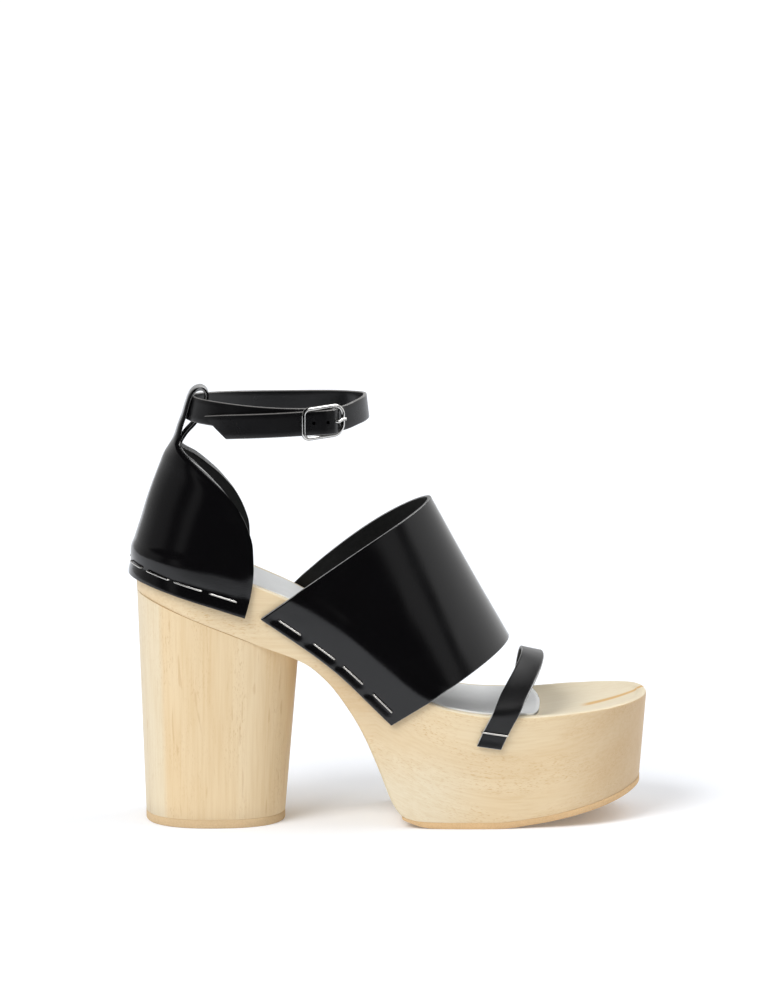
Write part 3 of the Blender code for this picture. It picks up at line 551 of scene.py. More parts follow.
heel_rings, heel_joint_shade = [], []
for share, grow, z in ((0.0, -CAP_INSET, TOP_LIFT), (0.0, -JOINT_EDGE, TOP_LIFT),
                       (0.001, 0.0, TOP_LIFT + JOINT_EDGE)):
    heel_rings.append(heel_ring(share, grow, lambda head: z))
    heel_joint_shade.append(0.0)
for level in range(1, HEEL_LEVELS):
    share = level / HEEL_LEVELS
    heel_rings.append(heel_ring(
        share, 0.0, lambda head: TOP_LIFT + share * (SIDE.at("under", head.x) - TOP_LIFT)))
    heel_joint_shade.append(0.0)
# Rings at the joint carry the brown line and its painted shade.
for grow, down, joint_shaded in ((0.0, 0.7, 0.0), (0.0, 0.35, 0.0), (0.0, 0.2, 0.75), (-0.2, 0.0, 0.9),
                            (-CAP_INSET, 0.0, 0.9)):
    heel_rings.append(heel_ring(1.0, grow, lambda head: SIDE.at("under", head.x) - down))
    heel_joint_shade.append(joint_shaded)
heel_backs = [-math.cos(2 * math.pi * k / HEEL_STEPS) for k in range(HEEL_STEPS)]
heel_pale_back = [HEEL_PALE_BACK * soft_step((back - PALE_BACK_TURN) / PALE_BACK_FADE) for back in heel_backs]
joint_shade_shares = [soft_step((head.x - JOINT_SHADE_START) / JOINT_SHADE_REACH) for head in heel_plan(1.0)]
heel = skin("turned_block_heel", heel_rings, tints={
    "brown_and_painted_shade": [[value * share for share in joint_shade_shares] for value in heel_joint_shade],
    "paler_and_painted_light": [heel_pale_back] * len(heel_rings)})
heel.data.materials.append(wood_finish("warm_heel_wood", (0.79, 0.635, 0.415), (0.745, 0.565, 0.335),
                                       (0.52, 0.32, 0.14), -90.0, 0.4, 0.3))
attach(heel, "root")
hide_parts("heel_block")

# Top lift and forefoot outsole
# Thin plates of tan rubber glued under the heel and under the platform, with rounded lower edges.
# The outsole follows the toe spring, so only its middle meets the floor.
OUTSOLE = 3.0
OUTSOLE_LIP = 1.4
OUTSOLE_TAPER = 14.0
OUTSOLE_START = 121.5
OUTSOLE_STATIONS = 90


def rubber_finish(name, tan, speck):
    """Matt tan rubber with a faint cork-like speckle."""
    material, tree, shader = start_finish(name, Specular_IOR_Level=0.3)
    spot = object_spot(tree)
    speckle = cloudy(tree, spot, 1300.0, 2.0)
    body = ramp(tree, speckle, ((0.3, tan), (0.75, speck)))
    shade = ramp(tree, cloudy(tree, spot, 60.0, 3.0), ((0.3, grey(0.9)), (0.7, grey(1.0))))
    tree.links.new(blend(tree, 1.0, body, shade, 'MULTIPLY'), shader.inputs["Base Color"])
    roughen(tree, shader, speckle, 0.65, 0.85)
    emboss(tree, shader, (speckle, 0.2, 0.0002))
    return material


lift_rings = []
for grow, z in ((-CAP_INSET, 0.0), (-0.5, 0.0), (-0.15, 0.15), (0.0, 0.5), (0.0, TOP_LIFT / 2),
                (0.0, TOP_LIFT - 0.1), (-0.1, TOP_LIFT), (-CAP_INSET, TOP_LIFT)):
    lift_rings.append([(p.x, p.y, z) for p in heel_plan(0.0, grow)])
top_lift = skin("rubber_top_lift", lift_rings)
top_lift.data.materials.append(rubber_finish("tan_top_lift_rubber", (0.70, 0.52, 0.31), (0.64, 0.46, 0.265)))
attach(top_lift, "root")
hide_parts("heel_top_lift")


def outsole_ring(t):
    """One cross-section of the outsole, hung under the wooden platform and thinned at its back end."""
    edges = []
    for side in (LATERAL, MEDIAL):
        rim = rim_point(side, t)
        edge = wall_inset(rim.x, SIDE.at("under", rim.x))
        thick = OUTSOLE_LIP + (OUTSOLE - OUTSOLE_LIP) * soft_step((rim.x - OUTSOLE_START) / OUTSOLE_TAPER)
        row = []
        for inset, drop in ((0.1, 0.0), (0.0, 0.1), (0.0, thick / 2), (0.0, thick - 0.4),
                            (0.12, thick - 0.12), (0.4, thick)):
            spot = outline(side, t, -edge - inset)
            row.append(Vector((spot.x, spot.y, SIDE.at("under", spot.x) - drop)))
        edges.append(row)
    low = [edges[0][-1].lerp(edges[1][-1], share) for share in (0.25, 0.5, 0.75)]
    high = [edges[1][0].lerp(edges[0][0], share) for share in (0.25, 0.5, 0.75)]
    return [tuple(p) for p in edges[0] + low + edges[1][::-1] + high]


outsole_start = t_at(OUTSOLE_START)
outsole_rings = [outsole_ring(outsole_start + (1.0 - outsole_start) * k / OUTSOLE_STATIONS)
                 for k in range(OUTSOLE_STATIONS + 1)]
outsole = skin("rubber_forefoot_outsole", outsole_rings)
outsole.data.materials.append(rubber_finish("tan_forefoot_rubber", (0.72, 0.50, 0.275), (0.65, 0.43, 0.225)))
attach(outsole, "root")
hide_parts("forefoot_outsole")

# Insole
# A pale grey leather sock glued on the footbed inside the rim, its front cut to a rounded square
# behind the toes.
INSOLE_THICK = 0.8
INSOLE_LIFT = 0.45
INSOLE_SEAT = 0.1
INSOLE_EDGE = 0.3
INSOLE_INSET = 6.0
INSOLE_START = 0.03
INSOLE_END = 188.0
INSOLE_END_BULGE = 5.0
INSOLE_END_SKEW = 6.0
INSOLE_STATIONS = 110
INSOLE_STEPS = 28
SOCK_GREY = (0.83, 0.84, 0.84)
SOCK_PALE = (0.89, 0.90, 0.90)


def insole_ring(t, share):
    """One cross-section of the sock on the footbed; share runs to 1 at its rounded front edge."""
    near, far = (outline(side, t, -INSOLE_INSET) for side in (LATERAL, MEDIAL))
    bed_near, bed_far = (outline(side, t, -RIM_WIDTH) for side in (LATERAL, MEDIAL))
    width = bed_far.y - bed_near.y
    lower, upper = [], []
    for k in range(INSOLE_STEPS + 1):
        across = 0.5 - 0.5 * math.cos(math.pi * k / INSOLE_STEPS)
        spot = near.lerp(far, across)
        spot.x -= share * INSOLE_END_BULGE * abs(2 * across - 1) ** 3
        spot.x += share * INSOLE_END_SKEW * (across - 0.5)
        z = footbed(spot.x, min(max((spot.y - bed_near.y) / max(width, 1.0), 0.0), 1.0), width)
        rounding = INSOLE_EDGE * (1 - soft_step(min(k, INSOLE_STEPS - k) / 2))
        lower.append((spot.x, spot.y, z + INSOLE_SEAT))
        upper.append((spot.x, spot.y, z + INSOLE_LIFT + INSOLE_THICK - rounding))
    return lower + upper[::-1]


insole_reach = t_at(INSOLE_END) - INSOLE_START
insole_rings = []
for step in range(INSOLE_STATIONS + 1):
    share = step / INSOLE_STATIONS
    insole_rings.append(insole_ring(INSOLE_START + insole_reach * share, soft_step(3 * share - 2)))
insole = skin("grey_sock_insole", insole_rings)
sock, sock_tree, sock_shader = start_finish("pale_grey_sock_leather", Specular_IOR_Level=0.08)
sock_spot = object_spot(sock_tree)
sock_grain = add_node(sock_tree, "ShaderNodeTexVoronoi", {"Vector": sock_spot, "Scale": 1100.0})
sock_cloud = cloudy(sock_tree, sock_spot, 70.0, 4.0)
sock_colour = ramp(sock_tree, sock_cloud, ((0.3, SOCK_GREY), (0.7, SOCK_PALE)))
sock_tree.links.new(sock_colour, sock_shader.inputs["Base Color"])
roughen(sock_tree, sock_shader, sock_cloud, 0.5, 0.68)
emboss(sock_tree, sock_shader, (sock_grain.outputs["Distance"], 0.15, 0.0002))
insole.data.materials.append(sock)
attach(insole, "root")
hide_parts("insole")

# Heel counter
# One piece of polished black leather wrapped round the heel and stapled to the wood through its lower edge,
# which puckers at each staple. At the back it narrows to a tab, folded forwards over the ankle strap.
COUNTER_THICK = 1.6
COUNTER_SEAT = 0.5
COUNTER_COLUMNS = 44
COUNTER_ROUND = 1.9
COUNTER_STEP = 0.2
COUNTER_ARC_STEP = 0.002
COUNTER_ROUNDED = (2, 7)
COUNTER_CENTRED = (7, 4)
COUNTER_SEAT_LEVELS = 5
COUNTER_SEAT_END = 60.0
COUNTER_SEAT_ABOVE = 5.0
COUNTER_SEAT_FADE = 7.0
COUNTER_PRESS_LEVELS = 4
COUNTER_STAPLE_ARCS = (13.0, 29.0, 43.5, 59.5)
COUNTER_STAPLE_HEIGHT = 6.4
COUNTER_FLARE = 1.3
COUNTER_FLARE_LEVELS = 1.15
COLLAR_FLARE = 0.8
COLLAR_FLARE_REACH = 8.0
COLLAR_START = (2, 3)
COLLAR_END = (11, 9)
WALL_FOLLOW = 0.6
STAPLE_CROWN = 12.0
LEG_DENT = 0.2
LEG_DENT_RADIUS = 1.8
CROWN_TROUGH = 0.35
CROWN_TROUGH_RADIUS = 1.7
CUT_ROUND = 0.45
CUT_EDGE_GREY = (0.15, 0.145, 0.14)
FLESH_GREYS = (0.006, 0.014)

# Inner face from the bottom edge to the tab's end: at the back, at the front edges, half width between them
COUNTER = Table("level back back_z edge edge_z half_width", (
    (0, -0.3, 115.3, 49.8, 98.9, 34.0),
    (1, -0.3, 120.8, 52.0, 106.8, 34.0),
    (2, 0.1, 126.4, 53.4, 114.2, 33.7),
    (3, 1.3, 131.0, 54.0, 121.0, 33.0),
    (4, 4.2, 140.0, 53.7, 131.0, 31.8),
    (5, 6.9, 149.0, 51.4, 139.6, 30.6),
    (6, 10.4, 158.8, 47.2, 147.8, 29.4),
    (7, 12.9, 165.2, 41.2, 154.9, 27.4),
    (8, 14.8, 170.0, 34.0, 161.4, 24.0),
    (9, 16.6, 173.0, 27.8, 166.4, 20.0),
    (10, 18.0, 175.2, 22.8, 170.2, 15.0),
    (11, 19.0, 177.0, 20.4, 173.8, 10.0),
    (12, 19.9, 179.2, 21.2, 178.2, 7.2),
    (13, 21.3, 183.6, 22.3, 183.4, 6.2),
    (14, 23.1, 188.2, 23.9, 188.2, 6.0),
    (15, 24.5, 192.9, 25.1, 192.9, 6.0),
    (16, 25.9, 197.0, 26.5, 197.0, 6.0),
    (17, 27.0, 198.9, 27.6, 198.9, 6.0),
    (18, 28.5, 200.0, 29.1, 200.0, 6.0),
    (19, 30.1, 200.3, 30.7, 200.3, 6.0),
    (20, 31.6, 199.5, 32.2, 199.5, 6.0),
    (21, 32.3, 197.6, 32.9, 197.6, 6.0),
    (22, 31.8, 194.6, 32.4, 194.6, 6.0),
    (23, 30.1, 190.6, 30.7, 190.6, 6.0),
    (24, 27.0, 186.0, 27.8, 185.9, 6.0),
    (25, 22.4, 181.0, 23.4, 180.8, 6.0),
    (26, 19.7, 176.6, 20.8, 176.3, 6.0),
    (27, 18.4, 173.6, 19.6, 173.2, 6.0),
    (28, 16.3, 169.6, 17.6, 169.2, 6.0),
))


def outline_at_arc(side, arc):
    """Place on the rim's outline, as t, at a distance from the middle of the heel's back."""
    t, done = 0.0, 0.0
    while done < arc:
        done += (rim_point(side, t + COUNTER_ARC_STEP) - rim_point(side, t)).length
        t += COUNTER_ARC_STEP
    return t


def counter_crown(side, arc):
    """Line under one staple's crown on the counter's outer face, as points with their outward directions."""
    crown = []
    for step in (-0.5, -0.25, 0.0, 0.25, 0.5):
        t = outline_at_arc(side, arc + step * STAPLE_CROWN)
        share = along_at(t) / COUNTER.rows[0][3]
        z = COUNTER.rows[0][2] + share * (COUNTER.rows[0][4] - COUNTER.rows[0][2]) + COUNTER_STAPLE_HEIGHT
        stand = COUNTER_SEAT + COUNTER_THICK - WALL_FOLLOW * wall_inset(along_at(t), z)
        inner, outer = outline(side, t, stand), outline(side, t, stand + 1.0)
        crown.append((Vector((*inner, z)), Vector((*(outer - inner), 0.0))))
    return crown


def staple_press(point, crowns):
    """How far staples draw leather in at a point: a trough under each crown, a dent at each leg."""
    press = 0.0
    for crown in crowns:
        spots = [spot for spot, out in crown]
        if (point - spots[len(spots) // 2]).length > STAPLE_CROWN:
            continue
        to_leg = min((point - spots[0]).length, (point - spots[-1]).length)
        to_crown = 1e9
        for a, b in zip(spots, spots[1:]):
            run = b - a
            share = min(max((point - a).dot(run) / run.dot(run), 0.0), 1.0)
            to_crown = min(to_crown, (point - a - run * share).length)
        press += LEG_DENT * math.exp(-(to_leg / LEG_DENT_RADIUS) ** 2)
        press += CROWN_TROUGH * math.exp(-(to_crown / CROWN_TROUGH_RADIUS) ** 2)
    return press


def worked_leather(grid, moves):
    """Grid of points moved along its own normals; moves(row, column, point) gives how far."""
    rows, columns = len(grid), len(grid[0])
    worked = []
    for r in range(rows):
        line = []
        for c in range(columns):
            up = Vector(grid[min(r + 1, rows - 1)][c]) - Vector(grid[max(r - 1, 0)][c])
            over = Vector(grid[r][min(c + 1, columns - 1)]) - Vector(grid[r][max(c - 1, 0)])
            point = Vector(grid[r][c])
            line.append(tuple(point + over.cross(up).normalized() * moves(r, c, point)))
        worked.append(line)
    return worked


def leather_finish(name, gloss_low, gloss_high):
    """Polished black leather: barely visible grain, cloudy gloss and a few pale specks of dust."""
    material, tree, shader = start_finish(name, Specular_IOR_Level=0.5)
    spot = object_spot(tree)
    pebble = add_node(tree, "ShaderNodeTexVoronoi", {"Vector": spot, "Scale": 1500.0}).outputs["Distance"]
    cloud = cloudy(tree, spot, 55.0, 4.0)
    dust = cloudy(tree, spot, 420.0, 2.0)
    colour = ramp(tree, dust, ((0.77, (0.0028, 0.0026, 0.003)), (0.84, (0.045, 0.045, 0.046))))
    colour = blend(tree, attribute(tree, "cut_edge"), colour, (*CUT_EDGE_GREY, 1.0))
    tree.links.new(colour, shader.inputs["Base Color"])
    roughen(tree, shader, cloud, gloss_low, gloss_high, (0.3, 0.7))
    emboss(tree, shader, (pebble, 0.05, 0.0002), (cloud, 0.08, 0.0006))
    return material


def raw_finish(name, deep, pale):
    """Raw hide at the inner face or a cut edge: greyer and duller than the polished face, with fibres."""
    material, tree, shader = start_finish(name, Specular_IOR_Level=0.3)
    fibre = cloudy(tree, object_spot(tree), 900.0, 3.0)
    tree.links.new(ramp(tree, fibre, ((0.3, grey(deep)), (0.7, grey(pale)))), shader.inputs["Base Color"])
    roughen(tree, shader, fibre, 0.5, 0.7)
    emboss(tree, shader, (fibre, 0.2, 0.0002))
    return material


def dress_leather(piece, thickness, part, gloss, edge_greys):
    """Give a leather face its thickness outwards, round its cut edges and finish face, inside and edge."""
    wall = piece.modifiers.new("leather thickness", 'SOLIDIFY')
    wall.thickness = thickness * MM
    wall.offset = 1.0
    wall.use_even_offset = False
    wall.material_offset = 1
    wall.material_offset_rim = 2
    edge = piece.modifiers.new("cut edge", 'BEVEL')
    edge.width = CUT_ROUND * MM
    edge.segments = 3
    edge.limit_method = 'ANGLE'
    edge.angle_limit = math.radians(50)
    piece.data.materials.append(leather_finish(f"black_{part}_hide", *gloss))
    piece.data.materials.append(raw_finish(f"{part}_flesh_side", *FLESH_GREYS))
    piece.data.materials.append(raw_finish(f"{part}_cut_edge", *edge_greys))


def counter_levels():
    count = round(COUNTER.rows[-1][0] / COUNTER_STEP)
    return [COUNTER.rows[-1][0] * k / count for k in range(count + 1)]


def counter_grid():
    """Inner face of the heel counter and its tab, the outline's U scaled and rounded level by level."""
    end_t = t_at(COUNTER.rows[0][3])
    columns = [(LATERAL, end_t * k / COUNTER_COLUMNS) for k in range(COUNTER_COLUMNS, 0, -1)]
    columns += [(MEDIAL, end_t * k / COUNTER_COLUMNS) for k in range(COUNTER_COLUMNS + 1)]
    half = (side_y(MEDIAL, along_at(end_t)) - side_y(LATERAL, along_at(end_t))) / 2
    grid = []
    for level in counter_levels():
        back, back_z, edge, edge_z, width = (COUNTER.at(n, level) for n in COUNTER.names[1:])
        row = []
        for side, t in columns:
            rim = rim_point(side, t)
            fore = rim.x / along_at(end_t)
            wide = (rim.y - PLAN.at("centre", rim.x)) / half
            rounded = side * (1 - (1 - min(fore, 1.0)) ** COUNTER_ROUND) ** (1 / COUNTER_ROUND)
            wide += rising(level, *COUNTER_ROUNDED) * (rounded - wide)
            x = back + fore * (edge - back)
            y = wide * width + PLAN.at("centre", rim.x) * rising(level, *COUNTER_CENTRED)
            z = back_z + fore * (edge_z - back_z)
            hold = 0.0
            if level < COUNTER_SEAT_LEVELS:
                wood = rim_z(min(max(x, 0.0), COUNTER_SEAT_END))
                hold = soft_step((wood + COUNTER_SEAT_ABOVE - z) / COUNTER_SEAT_FADE)
            stand = COUNTER_SEAT - WALL_FOLLOW * wall_inset(max(x, 0.0), z)
            seat = outline(side, t_at(max(fore * edge, 0.0)), stand)
            row.append((x + hold * (seat.x - x), y + hold * (seat.y - y), z))
        grid.append(row)
    return grid


counter_crowns = [counter_crown(side, arc) for side in (LATERAL, MEDIAL) for arc in COUNTER_STAPLE_ARCS]
counter_at = counter_levels()
counter_inner = counter_grid()


def counter_move(r, c, point):
    """Stapled line drawn in, free edge below it and the collar's cut edge flared out."""
    level = counter_at[r]
    flare = COUNTER_FLARE * soft_step(1 - level / COUNTER_FLARE_LEVELS)
    collar = Vector(counter_inner[r][0 if c < COUNTER_COLUMNS else -1])
    rolled = rising(level, *COLLAR_START) * rising(level, *COLLAR_END)
    flare += COLLAR_FLARE * rolled * soft_step(1 - (point - collar).length / COLLAR_FLARE_REACH)
    press = staple_press(point, counter_crowns) if level < COUNTER_PRESS_LEVELS else 0.0
    return press - flare


counter = skin("stapled_heel_counter", worked_leather(counter_inner, counter_move), closed=False)
dress_leather(counter, COUNTER_THICK, "counter", (0.13, 0.2), (0.2, 0.36))
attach(counter, "root")
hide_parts("heel_counter")

# Vamp and toe strap
# Two bands of polished black leather laid over the foot, a broad one at the instep and a narrow one behind
# the toes, stapled to the sides of the wooden sole.
VAMP_THICK = 2.0
TOE_STRAP_THICK = 1.5
BAND_SEAT = 0.5
BAND_FLARE = 0.5
BAND_FLARE_REACH = 4.2
BAND_FLARE_SPREAD = 3.0
FLARE_BETWEEN = 0.3
VAMP_STAPLE_HEIGHT = 4.5
VAMP_STAPLE_SHARES = (0.17, 0.415, 0.63, 0.865)
VAMP_STAPLE_SPAN = 0.05
TOE_STAPLE_HEIGHT = 7.0
TOE_STAPLE_SHIFT = 1.6
TOE_STAPLE_PAST = 0.8

# From back edge to front edge: crest, near and far feet on the wooden sides, swell of each side between
# crest and foot, depth below the crest in which the arch reaches its full width
BAND_COLUMNS = "row crest crest_z near near_z near_swell far far_z far_swell depth"
VAMP = Table(BAND_COLUMNS, (
    (0.0, 135.2, 148.4, 56.9, 98.4, 1.2, 65.7, 94.8, 3.6, 94.0),
    (0.5, 153.6, 114.7, 88.7, 75.7, 0.9, 96.8, 72.2, 1.9, 71.0),
    (1.0, 171.8, 82.7, 117.3, 48.9, 0.6, 127.9, 49.5, 0.1, 51.0),
))
TOE_STRAP = Table(BAND_COLUMNS, (
    (0.0, 179.0, 76.6, 156.0, 39.8, 2.0, 175.4, 40.0, -1.0, 44.0),
    (1.0, 189.2, 74.0, 167.2, 38.0, 1.5, 185.8, 39.0, -1.0, 27.0),
))
BAND_CREST_Y = 2.5
BAND_HOLD = 10.0
BAND_CROWDING = 1.6


def band_point(table, row, side, share):
    """Inner face of a band over the foot: share 0 at the crest, 1 at the foot on that side's wall."""
    get = {name: table.at(name, row) for name in table.names}
    foot = "near" if side == LATERAL else "far"
    crest = Vector((get["crest"], get["crest_z"]))
    span = crest - Vector((get[foot], get[foot + "_z"]))
    up = Vector((-span.y, span.x)).normalized()
    spot = crest - span * share + up * 4 * get[foot + "_swell"] * share * (1 - share)
    along = min(max(spot.x, 1.0), SOLE_LENGTH - 1.0)
    wall = abs(side_y(side, along)) - wall_inset(along, spot.y) + BAND_SEAT
    unfilled = max(1 - share * span.length / get["depth"], 0.0)
    full = math.sqrt(1 - unfilled ** 2)
    full += (1 - full) * soft_step((rim_z(along, (side + 1) / 2) + BAND_HOLD - spot.y) / BAND_HOLD)
    return spot.x, BAND_CREST_Y * (1 - full) + side * wall * full, spot.y


def band_grid(table, rows, columns):
    """Points from the far foot over the crest to the near foot, closer together at the crest."""
    shares = [(c / columns) ** BAND_CROWDING for c in range(columns + 1)]
    grid = []
    for r in range(rows + 1):
        far_side = [band_point(table, r / rows, MEDIAL, share) for share in shares[:0:-1]]
        grid.append(far_side + [band_point(table, r / rows, LATERAL, share) for share in shares])
    return grid


def band_crown(table, side, rows, height, shift, length, thick):
    """Line under one staple's crown on a band's outer face, as points with their outward directions.

    It lies above the foot's edge between two rows of the band's table, shifted along it; with no length
    given it spans them.
    """
    foot = "near" if side == LATERAL else "far"
    back, fore = (Vector((table.at(foot, r), table.at(foot + "_z", r))) for r in rows)
    run = (fore - back).normalized()
    middle = (back + fore) / 2 + height * Vector((-run.y, run.x)) + shift * run
    half = run * (length or (fore - back).length + TOE_STAPLE_PAST) / 2
    crown = []
    for step in (0.0, 0.25, 0.5, 0.75, 1.0):
        spot = (middle - half).lerp(middle + half, step)
        y = abs(side_y(side, spot.x)) - wall_inset(spot.x, spot.y) + BAND_SEAT + thick
        crown.append((Vector((spot.x, side * y, spot.y)), Vector((0.0, side, 0.0))))
    return crown


vamp_crowns, toe_crowns = [], []
for side in (LATERAL, MEDIAL):
    for share in VAMP_STAPLE_SHARES:
        vamp_rows = (share - VAMP_STAPLE_SPAN, share + VAMP_STAPLE_SPAN)
        vamp_crowns.append(band_crown(VAMP, side, vamp_rows, VAMP_STAPLE_HEIGHT, 0.0, STAPLE_CROWN,
                                      VAMP_THICK))
    toe_crowns.append(band_crown(TOE_STRAP, side, (0, 1), TOE_STAPLE_HEIGHT, TOE_STAPLE_SHIFT, None,
                                 TOE_STRAP_THICK))


def under_staple(point, crowns):
    """Share that is 1 below a staple's crown and falls to 0 beyond its ends."""
    share = 0.0
    for crown in crowns:
        start, run = crown[0][0], crown[-1][0] - crown[0][0]
        if (point - start - run / 2).length < STAPLE_CROWN:
            along = (point - start).dot(run) / run.length
            beyond = max(-along, along - run.length, 0.0)
            share = max(share, soft_step(1 - beyond / BAND_FLARE_SPREAD))
    return share


def stapled_band(name, table, rows, columns, crowns):
    """Band over the foot, drawn in at its staples and flared out along the free edge below them."""
    grid = band_grid(table, rows, columns)

    def move(r, c, point):
        foot = Vector(grid[r][0 if c < columns else -1])
        flare = BAND_FLARE * soft_step(1 - (point - foot).length / BAND_FLARE_REACH)
        if flare > 0:
            flare *= FLARE_BETWEEN + (1 - FLARE_BETWEEN) * under_staple(point, crowns)
        return flare - staple_press(point, crowns)

    return skin(name, worked_leather(grid, move), closed=False)


vamp = stapled_band("stapled_vamp_band", VAMP, 72, 110, vamp_crowns)
dress_leather(vamp, VAMP_THICK, "vamp", (0.13, 0.2), (0.14, 0.28))
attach(vamp, "root")
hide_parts("vamp_strap")

toe_band = stapled_band("stapled_toe_band", TOE_STRAP, 10, 80, toe_crowns)
# The toe strap's cut edges are paler than the others: partly their own raw tone, partly a painted reflection
# of the white floor on a burnished edge.
dress_leather(toe_band, TOE_STRAP_THICK, "toe", (0.32, 0.42), (0.32, 0.5))
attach(toe_band, "root")
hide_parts("toe_strap")

# Ankle strap
# A narrow strap of polished black leather. Its skived end is folded round the buckle's centre bar, and the
# rest runs round the ankle, through the counter's tab and the buckle, to a slanted tip with punched holes.
STRAP_WIDTH = 11.3
STRAP_THICK = 1.6
STRAP_SKIVED = 1.0
STRAP_ROUND = 0.45
EDGE_MARK = 0.6
PUNCH_RADIUS = 0.8
PUNCH_DEPTH = 2.6
PUNCH_TURNS = (358.6, 364.0, 372.4)
LOOP_BACK = 25.4
LOOP_FRONT = 107.0
LOOP_HALF_WIDTH = 28.0
TIP_SLANT_TURN = 18.0
TIP_REACH = 32.0
STRAP_TURN_STEP = 2.0
BUCKLE_TURNS = (338.0, 386.0)
BUCKLE_TURN_STEP = 0.8
EYE_STEPS = 12
EYE_RETURN = 6.0
EYE_PINCH = 2.0
BAR_ALONG = 88.7
BAR_LIFT = 1.8

# By turning angle from the skived end at the centre bar round the loop to the cut tip: lift off the inner
# turn, height of the middle, lean of the lower edge outwards
STRAP = Table("turn lift height lean", (
    (-8.0, 0.0, 188.7, 3.0),
    (30.0, 0.0, 189.4, 4.0),
    (85.0, 0.0, 191.6, 9.0),
    (123.0, 0.0, 192.2, 13.5),
    (165.0, 0.0, 190.8, 7.0),
    (213.0, 0.0, 190.0, 4.0),
    (270.0, 0.0, 191.4, 5.0),
    (303.0, 0.0, 192.4, 6.5),
    (330.0, 0.2, 191.2, 5.0),
    (346.0, 0.5, 189.5, 3.0),
    (350.0, 0.9, 189.2, 2.5),
    (353.5, 2.4, 189.0, 2.0),
    (357.0, 4.4, 188.8, 2.0),
    (360.0, 5.3, 188.7, 2.0),
    (365.0, 4.9, 188.5, 2.0),
    (370.0, 3.6, 188.3, 1.0),
    (374.0, 2.5, 188.15, 0.0),
    (377.0, 2.05, 188.05, 0.0),
    (382.0, 2.0, 187.9, 0.0),
    (400.0, 2.0, 187.3, 0.0),
    (428.0, 2.2, 186.1, 0.5),
    (446.0, 2.3, 184.8, 1.0),
))


def loop_point(turn, start=BAR_ALONG):
    """Ankle loop's middle face in plan and its outward direction, turned from a start on the outer side."""
    middle, half = (LOOP_BACK + LOOP_FRONT) / 2, (LOOP_FRONT - LOOP_BACK) / 2
    angle = -math.acos((start - middle) / half) - math.radians(turn)
    spot = Vector((middle + half * math.cos(angle), LOOP_HALF_WIDTH * math.sin(angle)))
    out = Vector((math.cos(angle) / half, math.sin(angle) / LOOP_HALF_WIDTH)).normalized()
    return spot, out


def strap_profile(thick):
    """Rounded rectangle across the strap, as pairs of distance off its middle face and height."""
    half, soft = STRAP_WIDTH / 2, min(STRAP_ROUND, 0.45 * thick)
    faces = {1: [(half - soft) * level for level in (-0.6, -0.2, 0.2, 0.6)]}
    faces[-1] = faces[1][::-1]
    profile = []
    for off_side, high_side, start in ((1, 1, 0), (-1, 1, 1), (-1, -1, 2), (1, -1, 3)):
        for k in range(4):
            turn = math.pi / 2 * (start + k / 3)
            profile.append((off_side * (thick / 2 - soft) + soft * math.cos(turn),
                            high_side * (half - soft) + soft * math.sin(turn)))
        if off_side != high_side:
            profile += [(off_side * thick / 2, high) for high in faces[off_side]]
    return profile


def strap_corner(centre, out, lean, off, high):
    """Point of the strap's profile, the lower edge leaning outwards."""
    tilt = math.radians(lean)
    up = Vector((-out.x * math.sin(tilt), -out.y * math.sin(tilt), math.cos(tilt)))
    face = Vector((out.x * math.cos(tilt), out.y * math.cos(tilt), math.sin(tilt)))
    return tuple(centre + face * off + up * high)


def eye_rings():
    """Skived end of the strap: back over the centre bar, then round it to the inner turn."""
    rings = []
    spot, out = loop_point(0.0)
    run = Vector((-out.y, out.x))
    height = STRAP.at("height", 0.0)
    for k in range(EYE_STEPS + 1):
        back = EYE_RETURN * (1 - k / EYE_STEPS)
        lift = 2 * BAR_LIFT - EYE_PINCH * soft_step(back / EYE_RETURN)
        place = Vector((*(spot + out * lift - run * back), height))
        profile = strap_profile(STRAP_SKIVED)
        rings.append([strap_corner(place, out, 0.0, -off, high) for off, high in profile])
    for k in range(1, EYE_STEPS * 2):
        turn = math.pi * k / (EYE_STEPS * 2)
        place = spot + out * (BAR_LIFT + BAR_LIFT * math.cos(turn)) + run * BAR_LIFT * math.sin(turn)
        place = Vector((*place, height))
        face = (out * math.cos(turn) + run * math.sin(turn)).normalized()
        profile = strap_profile(STRAP_SKIVED + (STRAP_THICK - STRAP_SKIVED) * 0.5 * k / EYE_STEPS)
        rings.append([strap_corner(place, face, 0.0, -off, high) for off, high in profile])
    return rings


def strap_ring(turn, last):
    """Section of the strap at a turning angle, its lower edge drawn back near the cut tip."""
    slant = TIP_SLANT_TURN * soft_step((turn - last + TIP_REACH) / TIP_REACH)
    ring = []
    for off, high in strap_profile(STRAP_THICK):
        here = turn - slant * (0.5 - high / STRAP_WIDTH)
        spot, out = loop_point(here)
        centre = Vector((*(spot + out * STRAP.at("lift", here)), STRAP.at("height", here)))
        ring.append(strap_corner(centre, out, STRAP.at("lean", here), off, high))
    return ring


def strap_turns(last):
    """Turning angles along the loop, closer together at the buckle."""
    turns = [0.0]
    while turns[-1] < last - 0.1:
        close = BUCKLE_TURNS[0] <= turns[-1] < BUCKLE_TURNS[1]
        turns.append(min(turns[-1] + (BUCKLE_TURN_STEP if close else STRAP_TURN_STEP), last))
    return turns


